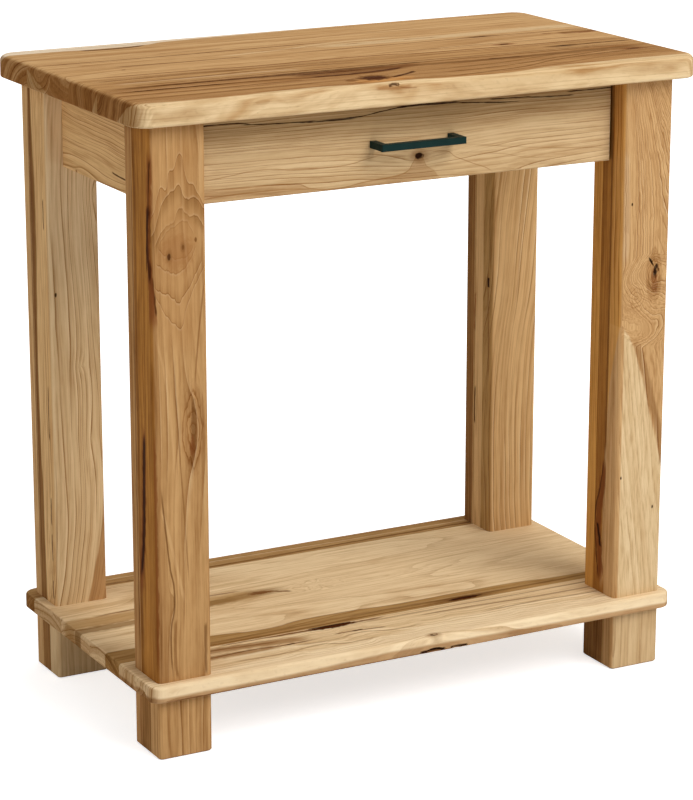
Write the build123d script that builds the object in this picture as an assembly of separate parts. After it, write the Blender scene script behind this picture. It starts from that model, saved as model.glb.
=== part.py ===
from build123d import *
import os

# A rustic hickory hall table: a glued-up top and a glued-up shelf with waney front edges, four laminated
# legs on separate feet, and one drawer that fills the front between the legs on three-member ball slides.
#
# Millimetres. +Z is up, +X is to the right, and the drawer opens towards -Y. The origin is on the floor,
# under the middle of the top. Each node's solids are written to their own STEP file in parts/.

# ---- overall sizes ----
HEIGHT = 762.0
TOP_WIDTH = 728.0
TOP_DEPTH = 410.0
TOP_THICK = 27.0
TOP_OVERHANG = 23.0
TOP_CORNER_RADIUS = 24.0
TOP_UPPER_ROUND = 8.0
TOP_LOWER_ROUND = 3.0
TOP_FRONT_BOARD = 107.0
TOP_REAR_BOARD = 102.0
TOP_MIDDLE_BOARDS = (78.0, 54.0, 69.0)  # from the front; these three fill the depth between the outer two

# ---- shelf ----
SHELF_THICK = 20.0
SHELF_OVERHANG = 12.5
SHELF_CORNER_RADIUS = 16.0
SHELF_UPPER_ROUND = 4.0
SHELF_LOWER_ROUND = 3.0
SHELF_FRONT_BOARD = 94.5
SHELF_REAR_BOARD = 39.5
SHELF_MIDDLE_BOARDS = (85.0, 85.0, 85.0)  # from the front; these three fill the depth between the outer two

# ---- waney front edges: how far they stand back from the front, at even steps from left to right ----
TOP_WANE = (3.6, 3.0, 1.4, 0.0, 1.2, 1.4)
SHELF_WANE = (0.4, 1.2, 1.2, 0.0, 1.0, 1.2)

# ---- knot holes, cracks and bark pockets: (place, half sizes, degrees turned) of egg-shaped hollows ----
# A place is counted to the right, back from the front edge or face, and up.
TOP_EDGE_KNOTS = (((-48.0, 4.0, -3.0), (6.0, 3.0, 2.6), (0, 0, 0)),)  # from the top's middle and upper face
SHELF_EDGE_POCKETS = (  # from the shelf's middle and underside
    ((14.0, 1.5, 3.0), (12.0, 3.2, 3.4), (0, 0, 0)),
    ((44.0, 1.5, 2.0), (7.0, 3.0, 2.8), (0, 0, 0)),
    ((17.0, 7.5, SHELF_THICK), (4.5, 2.6, 2.5), (0, 0, 0)),
)
SHELF_END_POCKETS = (((-1.0, 33.0, 5.0), (6.0, 22.0, 8.0), (18, 0, 0)),)  # from the left end and underside
LEG_CRACKS = (  # in the front right leg, from its middle and the shelf's upper face
    ((9.2, 0.0, 418.5), (1.0, 1.8, 5.2), (0, -34, 0)),
    ((18.0, 0.0, 409.5), (2.8, 2.4, 2.2), (0, 30, 0)),
    ((14.2, 0.0, 405.0), (1.5, 2.2, 6.0), (0, -6, 0)),
)
DRAWER_KNOT = ((10.0, 0.0, -19.0), (6.0, 2.2, 3.6), (0, 0, 0))  # from the middle of the pull

# ---- legs and feet ----
LEG_SIZE = 68.0
LEG_EDGE_ROUND = 6.0
STAVES = 3
FOOT_HEIGHT = 73.0
FOOT_CHAMFER = 1.5

# ---- aprons and front rail ----
APRON_HEIGHT = 99.0
APRON_THICK = 20.0
APRON_ROUND = 1.5
TENON_THICK = 10.0
TENON_SHOULDER = 10.0
TENON_SPACING = 3.0
MORTISE_CLEARANCE = 0.15
MORTISE_END_GAP = 0.6
RAIL_THICK = 18.0
RAIL_WIDTH = 40.0
RAIL_TENON_WIDTH = 12.0

# ---- drawer ----
FRONT_RECESS = 26.0
FRONT_THICK = 20.0
FRONT_SIDE_GAP = 3.0
FRONT_TOP_GAP = 2.0
FRONT_BACK_GAP = 2.0
FRONT_ROUND = 2.0
BOX_WALL = 12.7
BOX_HEIGHT = 62.0
BOX_TOP_GAP = 5.0
BOX_BACK_GAP = 20.0
BOTTOM_THICK = 6.0
BOTTOM_RISE = 10.0
GROOVE_DEPTH = 6.0
GROOVE_CLEARANCE = 0.2
GROOVE_END_GAP = 0.5
TAILS = 3
TAIL_ROOT_SHARE = 0.52
TAIL_SLOPE = 1.0 / 6.0

# ---- drawer pull ----
PULL_CENTRES = 101.6
PULL_SECTION = 8.0
PULL_PROJECTION = 30.0
PULL_EDGE = 0.6

# ---- three-member ball slide, in sheet steel ----
SLIDE_THICK = 12.7
SLIDE_HEIGHT = 45.0
SLIDE_END_GAP = 2.0
SHEET = 1.2
LIP = 1.5
OUTER_RECESS = 2.2
MIDDLE_RECESS = 1.5
BALL_RADIUS = 1.75
BALL_CLEARANCE = 0.05
BALLS_PER_ROW = 4
CAGE_LENGTH = 110.0
CAGE_ENDS = 12.0
CAGE_SHEET = 0.6
CAGE_GAP = 0.4
CAGE_HOLE_CLEARANCE = 0.1
CLEAT_HEIGHT = 60.0

# ---- fasteners ----
PILOT_CLEARANCE = 0.05
SCREW_RADIUS = 1.9
SCREW_HEAD_RADIUS = 3.6
SCREW_HEAD_HEIGHT = 2.4
FLAT_HEAD_DEPTH = 1.8
CLEAT_SCREW_LENGTH = 36.0
CLEAT_SCREW_SPREAD = 55.0
SLIDE_SCREW_LENGTH = 16.0
SLIDE_SCREW_SPREAD = 95.0
BOX_SCREW_LENGTH = 9.0
FRONT_SCREW_LENGTH = 27.0
FRONT_SCREW_SPREAD = 182.0
FRONT_SCREW_EDGE = 10.0
RAIL_SCREW_LENGTH = 32.0
RAIL_SCREW_SPREAD = 182.0
PULL_SCREW_RADIUS = 2.0
PULL_SCREW_BITE = 10.0
CLIP_WIDTH = 20.0
CLIP_SHEET = 1.6
CLIP_DROP = 12.0
CLIP_TONGUE = 8.0
CLIP_STEP = 3.0
CLIP_TAB = 19.0
CLIP_SCREW_LENGTH = 17.0
KERF_CLEARANCE = 0.2
SIDE_CLIP_SPREAD = 60.0
BACK_CLIP_SPREAD = 150.0
BOLT_RADIUS = 4.0
BOLT_HEAD_FLATS = 13.0
BOLT_HEAD_HEIGHT = 5.3
BOLT_HOLE_CLEARANCE = 0.4
BOLT_TIP = 5.0
WASHER_RADIUS = 8.0
WASHER_THICK = 1.6
COUNTERBORE_RADIUS = 9.0
COUNTERBORE_DEPTH = 15.0
INSERT_RADIUS = 6.0
INSERT_LENGTH = 25.0
DOWEL_RADIUS = 5.0
DOWEL_CHAMFER = 0.8
DOWEL_BITE = 20.0
DOWEL_OFFSET = 18.0

# ---- the carcase, worked out from the sizes above ----
TOP_UNDER = HEIGHT - TOP_THICK
SHELF_TOP = FOOT_HEIGHT + SHELF_THICK
SPAN_X = TOP_WIDTH - 2 * TOP_OVERHANG
SPAN_Y = TOP_DEPTH - 2 * TOP_OVERHANG
SHELF_WIDTH = SPAN_X + 2 * SHELF_OVERHANG
SHELF_DEPTH = SPAN_Y + 2 * SHELF_OVERHANG
LEG_X = (SPAN_X - LEG_SIZE) / 2
LEG_Y = (SPAN_Y - LEG_SIZE) / 2
INSIDE_X = LEG_X - LEG_SIZE / 2
INSIDE_Y = LEG_Y - LEG_SIZE / 2
STAVE = LEG_SIZE / STAVES
APRON_UNDER = TOP_UNDER - APRON_HEIGHT
APRON_INNER_X = LEG_X - APRON_THICK / 2
APRON_INNER_Y = LEG_Y - APRON_THICK / 2
TENON_LENGTH = (LEG_SIZE - TENON_THICK) / 2 - TENON_SPACING

# ---- the drawer and its slides, worked out from the sizes above ----
FACE_Y = -SPAN_Y / 2 + FRONT_RECESS
FACE_BACK_Y = FACE_Y + FRONT_THICK
FRONT_HEIGHT = APRON_HEIGHT - FRONT_TOP_GAP
FRONT_HALF = INSIDE_X - FRONT_SIDE_GAP
PULL_Z = APRON_UNDER + FRONT_HEIGHT / 2
RAIL_Y = FACE_BACK_Y + FRONT_BACK_GAP
RAIL_UNDER = TOP_UNDER - RAIL_THICK
BOX_TOP = RAIL_UNDER - BOX_TOP_GAP
BOX_UNDER = BOX_TOP - BOX_HEIGHT
BOX_HALF = INSIDE_X - SLIDE_THICK
BOX_INNER = BOX_HALF - BOX_WALL
BOX_FRONT_INNER_Y = FACE_BACK_Y + BOX_WALL
BOX_BACK_Y = APRON_INNER_Y - BOX_BACK_GAP
BOX_MIDDLE_Y = (FACE_BACK_Y + BOX_BACK_Y) / 2
BOTTOM_Z = BOX_UNDER + BOTTOM_RISE
SLIDE_Z = BOX_UNDER + BOX_HEIGHT / 2
SLIDE_LENGTH = BOX_BACK_Y - FACE_BACK_Y - 2 * SLIDE_END_GAP

# ---- how the slide's members nest: depths run from the carcase towards the drawer ----
BALL_GAP = 2 * (BALL_RADIUS + BALL_CLEARANCE)
WEB_STEP = SHEET + 2 * CAGE_GAP + CAGE_SHEET
OUTER_HALF_HEIGHT = SLIDE_HEIGHT / 2
MIDDLE_HALF_HEIGHT = OUTER_HALF_HEIGHT - SHEET - BALL_GAP
INNER_HALF_HEIGHT = MIDDLE_HALF_HEIGHT - SHEET - BALL_GAP
OUTER_NEAR, OUTER_FAR = 0.0, SLIDE_THICK - OUTER_RECESS
MIDDLE_NEAR, MIDDLE_FAR = OUTER_NEAR + WEB_STEP, SLIDE_THICK - MIDDLE_RECESS
INNER_NEAR, INNER_FAR = MIDDLE_NEAR + WEB_STEP, SLIDE_THICK

BEYOND = 1000.0  # reaches past every piece, for the blocks that cut boards apart
CORNERS = {(-1, -1): "front_left", (1, -1): "front_right", (-1, 1): "back_left", (1, 1): "back_right"}
BOARD_NAMES = ("front", "second", "middle", "fourth", "rear")
STAVE_NAMES = ("front", "core", "back")
SIDES = {"left": -1, "right": 1}
UP = (0, 0, 1)
FORWARD = (0, -1, 0)


# ---- shared shapes ----
def block(x_span, y_span, z_span):
    """A box between two limits on each axis, given in either order."""
    spans = (x_span, y_span, z_span)
    middle = [(low + high) / 2 for low, high in spans]
    return Pos(*middle) * Box(*[abs(high - low) for low, high in spans])


def rod(radius, start, length):
    """An upright cylinder that stands on a point."""
    return Pos(*start) * Pos(0, 0, length / 2) * Cylinder(radius, length)


def aimed(part, point, direction):
    """A part made pointing up, set at a point and turned to point along a direction."""
    return Plane(origin=point, z_dir=direction).location * part


def minus(part, cutters):
    """The part less every cutter whose box meets the part's box."""
    box = part.bounding_box()
    for cutter in cutters:
        other = cutter.bounding_box()
        meets_x = box.min.X < other.max.X and other.min.X < box.max.X
        meets_y = box.min.Y < other.max.Y and other.min.Y < box.max.Y
        meets_z = box.min.Z < other.max.Z and other.min.Z < box.max.Z
        if meets_x and meets_y and meets_z:
            part = part - cutter
    return part


def hollows(origin, eggs):
    """Egg-shaped cutters for knot holes, cracks and bark pockets, placed from an origin."""
    cutters = []
    for place, half_sizes, turned in eggs:
        cutters.append(Pos(*origin) * Pos(*place) * Rot(*turned) * scale(Sphere(1), by=half_sizes))
    return cutters


# ---- screws and bolts, made pointing up with the seat of the head at z = 0 ----
def pan_screw(length, radius=SCREW_RADIUS):
    head = Pos(0, 0, -SCREW_HEAD_HEIGHT / 2) * Cylinder(SCREW_HEAD_RADIUS, SCREW_HEAD_HEIGHT)
    head = fillet(head.edges().group_by(Axis.Z)[0], SCREW_HEAD_HEIGHT / 3)
    return head + rod(radius, (0, 0, 0), length)


def pan_hole(length, radius=SCREW_RADIUS):
    return rod(radius + PILOT_CLEARANCE, (0, 0, 0), length + PILOT_CLEARANCE)


def flat_screw(length, clearance=0.0):
    """A countersunk screw whose head is flush at z = 0, or its hole when a clearance is given."""
    depth = FLAT_HEAD_DEPTH + clearance
    head = Pos(0, 0, depth / 2) * Cone(SCREW_HEAD_RADIUS + clearance, SCREW_RADIUS + clearance, depth)
    return head + rod(SCREW_RADIUS + clearance, (0, 0, 0), length + clearance)


def flat_hole(length):
    return flat_screw(length, PILOT_CLEARANCE)


def leg_bolt(length):
    head = extrude(RegularPolygon(BOLT_HEAD_FLATS / 2, 6, major_radius=False), -BOLT_HEAD_HEIGHT)
    return head + rod(BOLT_RADIUS, (0, 0, 0), length)


def ring(outer, inner, start, thick):
    return rod(outer, start, thick) - rod(inner, start, thick)


# ---- glued-up panels ----
def panel(width, depth, thick, corner, wane, upper, lower):
    """A slab with a wavy front edge, round corners and rounded rims, lying on z = 0."""
    side, back = width / 2, depth / 2
    step = 2 * (side - corner) / (len(wane) - 1)
    edge = [(corner - side + number * step, inset - back) for number, inset in enumerate(wane)]
    left, right = edge[0][1] + corner, edge[-1][1] + corner
    outline = [
        Spline(*edge, tangents=[(1, 0), (1, 0)]),
        RadiusArc(edge[-1], (side, right), -corner),
        Line((side, right), (side, back - corner)),
        RadiusArc((side, back - corner), (side - corner, back), -corner),
        Line((side - corner, back), (corner - side, back)),
        RadiusArc((corner - side, back), (-side, back - corner), -corner),
        Line((-side, back - corner), (-side, left)),
        RadiusArc((-side, left), edge[0], -corner),
    ]
    slab = extrude(make_face(outline), thick)
    slab = fillet(slab.edges().group_by(Axis.Z)[-1], upper)
    return fillet(slab.edges().group_by(Axis.Z)[0], lower)


def rip(slab, depth, front, middles, rear):
    """The slab cut into boards along its length, front one first."""
    fill = (depth - front - rear) / sum(middles)
    seams = [front - depth / 2]
    for width in middles:
        seams.append(seams[-1] + fill * width)
    limits = [-BEYOND, *seams, BEYOND]
    everywhere = (-BEYOND, BEYOND)
    return [slab & block(everywhere, span, everywhere) for span in zip(limits, limits[1:])]


def top_boards(pilots):
    slab = panel(
        TOP_WIDTH, TOP_DEPTH, TOP_THICK, TOP_CORNER_RADIUS, TOP_WANE, TOP_UPPER_ROUND, TOP_LOWER_ROUND
    )
    cuts = pilots + hollows((0, -TOP_DEPTH / 2, HEIGHT), TOP_EDGE_KNOTS)
    slab = Pos(0, 0, TOP_UNDER) * slab
    slabs = rip(slab, TOP_DEPTH, TOP_FRONT_BOARD, TOP_MIDDLE_BOARDS, TOP_REAR_BOARD)
    return {f"top_{name}_board": minus(board, cuts) for name, board in zip(BOARD_NAMES, slabs)}


def shelf_boards(holes):
    slab = panel(
        SHELF_WIDTH, SHELF_DEPTH, SHELF_THICK,
        SHELF_CORNER_RADIUS, SHELF_WANE, SHELF_UPPER_ROUND, SHELF_LOWER_ROUND,
    )
    front = -SHELF_DEPTH / 2
    pockets = hollows((0, front, FOOT_HEIGHT), SHELF_EDGE_POCKETS)
    end_pockets = hollows((-SHELF_WIDTH / 2, front, FOOT_HEIGHT), SHELF_END_POCKETS)
    cuts = [*holes, *pockets, *end_pockets]
    slab = Pos(0, 0, FOOT_HEIGHT) * slab
    slabs = rip(slab, SHELF_DEPTH, SHELF_FRONT_BOARD, SHELF_MIDDLE_BOARDS, SHELF_REAR_BOARD)
    return {f"shelf_{name}_board": minus(board, cuts) for name, board in zip(BOARD_NAMES, slabs)}


# ---- legs and feet ----
def post(x, y, z_span):
    """A square post with rounded upright edges, cut into its staves, front one first."""
    half = LEG_SIZE / 2
    solid = block((x - half, x + half), (y - half, y + half), z_span)
    solid = fillet(solid.edges().filter_by(Axis.Z), LEG_EDGE_ROUND)
    if z_span[0] == 0:
        solid = chamfer(solid.edges().group_by(Axis.Z)[0], FOOT_CHAMFER)
    split = []
    for number in range(STAVES):
        front = y - half + number * STAVE
        split.append(solid & block((x - half, x + half), (front, front + STAVE), z_span))
    return split


def legs_and_feet(leg_cuts, foot_cuts):
    nodes = {}
    for (sx, sy), corner in CORNERS.items():
        leg = post(sx * LEG_X, sy * LEG_Y, (SHELF_TOP, TOP_UNDER))
        for name, stave in zip(STAVE_NAMES, leg):
            nodes[f"{corner}_leg_{name}_stave"] = minus(stave, leg_cuts)
        foot = post(sx * LEG_X, sy * LEG_Y, (0, FOOT_HEIGHT))
        nodes[f"{corner}_foot"] = [minus(stave, foot_cuts) for stave in foot]
    return nodes


def dowel_places(x, y):
    return [(x - DOWEL_OFFSET, y + STAVE), (x + DOWEL_OFFSET, y - STAVE)]


def leg_fixings():
    """The leg bolts, washers, inserts and dowels, the holes that they pass through, and the insert seats."""
    nodes = {"leg_bolts": [], "leg_bolt_washers": [], "leg_bolt_inserts": [], "leg_dowels": []}
    holes, seats = [], []
    head_seat = COUNTERBORE_DEPTH - WASHER_THICK
    bolt_length = SHELF_TOP + INSERT_LENGTH + BOLT_TIP - head_seat
    hole_radius = BOLT_RADIUS + BOLT_HOLE_CLEARANCE
    dowel_length = SHELF_THICK + 2 * DOWEL_BITE
    for sx, sy in CORNERS:
        x, y = sx * LEG_X, sy * LEG_Y
        on_shelf = (x, y, SHELF_TOP)
        nodes["leg_bolts"].append(Pos(x, y, head_seat) * leg_bolt(bolt_length))
        nodes["leg_bolt_washers"].append(ring(WASHER_RADIUS, hole_radius, (x, y, head_seat), WASHER_THICK))
        insert = ring(INSERT_RADIUS, BOLT_RADIUS + PILOT_CLEARANCE, on_shelf, INSERT_LENGTH)
        nodes["leg_bolt_inserts"].append(insert)
        holes.append(rod(COUNTERBORE_RADIUS, (x, y, 0), COUNTERBORE_DEPTH))
        holes.append(rod(hole_radius, (x, y, 0), head_seat + bolt_length + BOLT_TIP))
        seats.append(rod(INSERT_RADIUS + PILOT_CLEARANCE, on_shelf, INSERT_LENGTH + PILOT_CLEARANCE))
        for pin_x, pin_y in dowel_places(x, y):
            pin = rod(DOWEL_RADIUS, (pin_x, pin_y, FOOT_HEIGHT - DOWEL_BITE), dowel_length)
            nodes["leg_dowels"].append(chamfer(pin.edges().filter_by(GeomType.CIRCLE), DOWEL_CHAMFER))
            start = (pin_x, pin_y, FOOT_HEIGHT - DOWEL_BITE - PILOT_CLEARANCE)
            holes.append(rod(DOWEL_RADIUS + PILOT_CLEARANCE, start, dowel_length + 2 * PILOT_CLEARANCE))
    return nodes, holes, seats


# ---- aprons and the front rail, each with its tenons, and the mortises that take the tenons ----
SIDE_APRON_PLACES = {name: Pos(side * LEG_X, 0, APRON_UNDER) * Rot(0, 0, 90) for name, side in SIDES.items()}
BACK_APRON_PLACE = Pos(0, LEG_Y, APRON_UNDER)


def apron_tenons(half_length, clearance=0.0, end_gap=0.0):
    reach = half_length + TENON_LENGTH + end_gap
    half_thick = TENON_THICK / 2 + clearance
    z_span = (TENON_SHOULDER - clearance, APRON_HEIGHT - TENON_SHOULDER + clearance)
    return block((-reach, reach), (-half_thick, half_thick), z_span)


def apron(half_length):
    """An apron along X with its lower edge at z = 0."""
    half_thick = APRON_THICK / 2
    board = block((-half_length, half_length), (-half_thick, half_thick), (0, APRON_HEIGHT))
    lower_edges = board.edges().filter_by(Axis.X).group_by(Axis.Z)[0]
    return fillet(lower_edges, APRON_ROUND) + apron_tenons(half_length)


def rail_tenons(clearance=0.0, end_gap=0.0):
    reach = INSIDE_X + TENON_LENGTH + end_gap
    middle_y = (RAIL_Y - INSIDE_Y) / 2
    middle_z = RAIL_UNDER + RAIL_THICK / 2
    half_width = RAIL_TENON_WIDTH / 2 + clearance
    half_thick = TENON_THICK / 2 + clearance
    y_span = (middle_y - half_width, middle_y + half_width)
    return block((-reach, reach), y_span, (middle_z - half_thick, middle_z + half_thick))


def front_top_rail():
    """A flat rail under the top, just behind the drawer front."""
    board = block((-INSIDE_X, INSIDE_X), (RAIL_Y, RAIL_Y + RAIL_WIDTH), (RAIL_UNDER, TOP_UNDER))
    return board + rail_tenons()


def mortises():
    side_mortise = apron_tenons(INSIDE_Y, MORTISE_CLEARANCE, MORTISE_END_GAP)
    back_mortise = apron_tenons(INSIDE_X, MORTISE_CLEARANCE, MORTISE_END_GAP)
    cutters = [place * side_mortise for place in SIDE_APRON_PLACES.values()]
    return cutters + [BACK_APRON_PLACE * back_mortise, rail_tenons(MORTISE_CLEARANCE, MORTISE_END_GAP)]


def aprons_and_rail(kerfs, pilots):
    nodes = {}
    for name, place in SIDE_APRON_PLACES.items():
        nodes[f"{name}_apron"] = minus(place * apron(INSIDE_Y), kerfs + pilots)
    nodes["back_apron"] = minus(BACK_APRON_PLACE * apron(INSIDE_X), kerfs)
    nodes["front_top_rail"] = minus(front_top_rail(), pilots)
    return nodes


# ---- steel clips and screws that hold the top down ----
# A clip is made with x along its apron, y pointing in from the apron's face and z = 0 under the top.
CLIP_HALF = CLIP_WIDTH / 2
CLIP_SCREW_Y = CLIP_STEP + (CLIP_SHEET + CLIP_TAB) / 2


def clip():
    x_span = (-CLIP_HALF, CLIP_HALF)
    tongue = block(x_span, (-CLIP_TONGUE, CLIP_STEP), (-CLIP_DROP, CLIP_SHEET - CLIP_DROP))
    riser = block(x_span, (CLIP_STEP, CLIP_STEP + CLIP_SHEET), (-CLIP_DROP, 0))
    tab = block(x_span, (CLIP_STEP, CLIP_STEP + CLIP_TAB), (-CLIP_SHEET, 0))
    hole = rod(SCREW_RADIUS + PILOT_CLEARANCE, (0, CLIP_SCREW_Y, -CLIP_SHEET), CLIP_SHEET)
    return tongue + riser + tab - hole


def kerf():
    """The slot in an apron that takes a clip's tongue."""
    half = CLIP_HALF + KERF_CLEARANCE
    z_span = (-CLIP_DROP - KERF_CLEARANCE, CLIP_SHEET - CLIP_DROP + KERF_CLEARANCE)
    return block((-half, half), (-CLIP_TONGUE - KERF_CLEARANCE, CLIP_STEP), z_span)


def clip_places():
    """Two clips on each side apron and two on the back apron."""
    places = []
    for end in (-1, 1):
        for side in SIDES.values():
            place = Pos(side * APRON_INNER_X, end * SIDE_CLIP_SPREAD, TOP_UNDER)
            places.append(place * Rot(0, 0, side * 90))
        places.append(Pos(end * BACK_CLIP_SPREAD, APRON_INNER_Y, TOP_UNDER) * Rot(0, 0, 180))
    return places


def top_fixings():
    """The clips and their screws with the rail's screws, the kerfs for the clips and the screws' holes."""
    clips, screws, kerfs, pilots = [], [], [], []
    for place in clip_places():
        seat = place * Pos(0, CLIP_SCREW_Y, -CLIP_SHEET)
        clips.append(place * clip())
        kerfs.append(place * kerf())
        screws.append(seat * pan_screw(CLIP_SCREW_LENGTH))
        pilots.append(seat * pan_hole(CLIP_SCREW_LENGTH))
    for x in (-RAIL_SCREW_SPREAD, 0, RAIL_SCREW_SPREAD):
        seat = Pos(x, RAIL_Y + RAIL_WIDTH / 2, RAIL_UNDER)
        screws.append(seat * flat_screw(RAIL_SCREW_LENGTH))
        pilots.append(seat * flat_hole(RAIL_SCREW_LENGTH))
    return {"top_clips": clips, "top_screws": screws}, kerfs, pilots


# ---- drawer ----
def dovetails(x_span, y_end, inward):
    """The tails at one end of a drawer side; inward is +1 or -1 along Y from that end."""
    pitch = BOX_HEIGHT / TAILS
    root = pitch * TAIL_ROOT_SHARE / 2
    tip = root + BOX_WALL * TAIL_SLOPE
    y_root = y_end + inward * BOX_WALL
    tails = []
    for number in range(TAILS):
        x, z = x_span[0], BOX_UNDER + (number + 0.5) * pitch
        corners = [(x, y_end, z - tip), (x, y_end, z + tip), (x, y_root, z + root), (x, y_root, z - root)]
        face = make_face(Polyline(*corners, close=True))
        tails.append(extrude(face, x_span[1] - x_span[0], dir=(1, 0, 0)))
    return tails


def drawer_box(drawer_pilots, slide_pilots):
    """The four walls, dovetailed together, and the bottom in its groove."""
    z_span = (BOX_UNDER, BOX_TOP)
    groove_x = BOX_INNER + GROOVE_DEPTH
    groove_y = (BOX_FRONT_INNER_Y - GROOVE_DEPTH, BOX_BACK_Y - BOX_WALL + GROOVE_DEPTH)
    groove_z = (BOTTOM_Z - GROOVE_CLEARANCE, BOTTOM_Z + BOTTOM_THICK + GROOVE_CLEARANCE)
    groove = block((-groove_x, groove_x), groove_y, groove_z)
    bottom_x = groove_x - GROOVE_END_GAP
    bottom_y = (groove_y[0] + GROOVE_END_GAP, groove_y[1] - GROOVE_END_GAP)
    nodes = {"drawer_bottom": block((-bottom_x, bottom_x), bottom_y, (BOTTOM_Z, BOTTOM_Z + BOTTOM_THICK))}
    all_tails = []
    for name, side in SIDES.items():
        x_span = sorted((side * BOX_HALF, side * BOX_INNER))
        tails = dovetails(x_span, FACE_BACK_Y, 1) + dovetails(x_span, BOX_BACK_Y, -1)
        wall = block(x_span, (BOX_FRONT_INNER_Y, BOX_BACK_Y - BOX_WALL), z_span)
        for tail in tails:
            wall = wall + tail
        nodes[f"drawer_{name}_side"] = minus(wall - groove, slide_pilots)
        all_tails += tails
    ends = {"front": (FACE_BACK_Y, BOX_FRONT_INNER_Y), "back": (BOX_BACK_Y - BOX_WALL, BOX_BACK_Y)}
    for name, y_span in ends.items():
        wall = block((-BOX_HALF, BOX_HALF), y_span, z_span)
        nodes[f"drawer_box_{name}"] = minus(wall, [*all_tails, groove, *drawer_pilots])
    return nodes


def drawer_front(pilots):
    """The show board, which hangs below and stands beside the box that it hides."""
    z_span = (APRON_UNDER, APRON_UNDER + FRONT_HEIGHT)
    board = block((-FRONT_HALF, FRONT_HALF), (FACE_Y, FACE_BACK_Y), z_span)
    board = fillet(board.faces().sort_by(Axis.Y)[0].edges(), FRONT_ROUND)
    return minus(board, pilots + hollows((0, FACE_Y, PULL_Z), (DRAWER_KNOT,)))


def drawer_pull(pilots):
    """A square bar on two posts."""
    half = PULL_SECTION / 2
    reach = PULL_CENTRES / 2 + half
    bar_y = FACE_Y - PULL_PROJECTION
    z_span = (PULL_Z - half, PULL_Z + half)
    bar = block((-reach, reach), (bar_y, bar_y + PULL_SECTION), z_span)
    for side in SIDES.values():
        x = side * PULL_CENTRES / 2
        bar = bar + block((x - half, x + half), (bar_y, FACE_Y), z_span)
    front_edges = bar.faces().sort_by(Axis.Y)[0].edges()
    return minus(chamfer(front_edges, PULL_EDGE), pilots)


def drawer_fixings():
    """The screws that hold the show board and the pull, and their holes."""
    front_screws, pull_screws, pilots = [], [], []
    levels = (BOTTOM_Z + BOTTOM_THICK + FRONT_SCREW_EDGE, BOX_TOP - FRONT_SCREW_EDGE)
    pull_screw_length = BOX_WALL + FRONT_THICK + PULL_SCREW_BITE
    for side in SIDES.values():
        for z in levels:
            point = (side * FRONT_SCREW_SPREAD, BOX_FRONT_INNER_Y, z)
            front_screws.append(aimed(pan_screw(FRONT_SCREW_LENGTH), point, FORWARD))
            pilots.append(aimed(pan_hole(FRONT_SCREW_LENGTH), point, FORWARD))
        point = (side * PULL_CENTRES / 2, BOX_FRONT_INNER_Y, PULL_Z)
        pull_screws.append(aimed(pan_screw(pull_screw_length, PULL_SCREW_RADIUS), point, FORWARD))
        pilots.append(aimed(pan_hole(pull_screw_length, PULL_SCREW_RADIUS), point, FORWARD))
    return {"drawer_front_screws": front_screws, "pull_screws": pull_screws}, pilots


# ---- ball slides ----
def channel(side, half_profile, length):
    """A section run along Y. The profile is (depth, height) points of its upper half, mirrored below."""
    profile = half_profile + [(depth, -height) for depth, height in reversed(half_profile)]
    start = BOX_MIDDLE_Y - length / 2
    points = [(side * (INSIDE_X - depth), start, SLIDE_Z + height) for depth, height in profile]
    return extrude(make_face(Polyline(*points, close=True)), length, dir=(0, 1, 0))


def lipped_profile(near, far, top):
    """A web, a flange and a lip that keeps the balls in."""
    under = top - SHEET
    return [
        (near, top), (far, top), (far, under - LIP), (far - SHEET, under - LIP), (far - SHEET, under),
        (near + SHEET, under),
    ]


def inner_profile():
    """The drawer's member: its web is on the drawer and its flanges point to the carcase."""
    top, under = INNER_HALF_HEIGHT, INNER_HALF_HEIGHT - SHEET
    return [(INNER_FAR, top), (INNER_NEAR, top), (INNER_NEAR, under), (INNER_FAR - SHEET, under)]


def ball_cage(side, around_near, around_far, around_top, within_near):
    """The cage and its balls between a lipped member and the member that runs inside it."""
    height = around_top - SHEET - BALL_GAP / 2
    web = around_near + SHEET + CAGE_GAP
    ball_depth = (within_near + around_far - SHEET) / 2
    flange_end = ball_depth + BALL_RADIUS
    above, below = height + CAGE_SHEET / 2, height - CAGE_SHEET / 2
    profile = [(web, above), (flange_end, above), (flange_end, below), (web + CAGE_SHEET, below)]
    cage = channel(side, profile, CAGE_LENGTH)
    pitch = (CAGE_LENGTH - 2 * CAGE_ENDS) / (BALLS_PER_ROW - 1)
    x = side * (INSIDE_X - ball_depth)
    balls = []
    for number in range(BALLS_PER_ROW):
        y = BOX_MIDDLE_Y - CAGE_LENGTH / 2 + CAGE_ENDS + number * pitch
        for up in (-1, 1):
            centre = Pos(x, y, SLIDE_Z + up * height)
            cage = cage - centre * Cylinder(BALL_RADIUS + CAGE_HOLE_CLEARANCE, 4 * CAGE_SHEET)
            balls.append(centre * Sphere(BALL_RADIUS))
    return [cage, *balls]


def slides(carcase_pilots, drawer_pilots):
    nodes = {}
    for name, side in SIDES.items():
        outer = channel(side, lipped_profile(OUTER_NEAR, OUTER_FAR, OUTER_HALF_HEIGHT), SLIDE_LENGTH)
        middle = channel(side, lipped_profile(MIDDLE_NEAR, MIDDLE_FAR, MIDDLE_HALF_HEIGHT), SLIDE_LENGTH)
        inner = channel(side, inner_profile(), SLIDE_LENGTH)
        nodes[f"{name}_slide_outer_member"] = minus(outer, carcase_pilots)
        nodes[f"{name}_slide_middle_member"] = middle
        nodes[f"{name}_slide_inner_member"] = minus(inner, drawer_pilots)
        nodes[f"{name}_slide_outer_cage"] = ball_cage(
            side, OUTER_NEAR, OUTER_FAR, OUTER_HALF_HEIGHT, MIDDLE_NEAR
        )
        nodes[f"{name}_slide_inner_cage"] = ball_cage(
            side, MIDDLE_NEAR, MIDDLE_FAR, MIDDLE_HALF_HEIGHT, INNER_NEAR
        )
    return nodes


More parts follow.
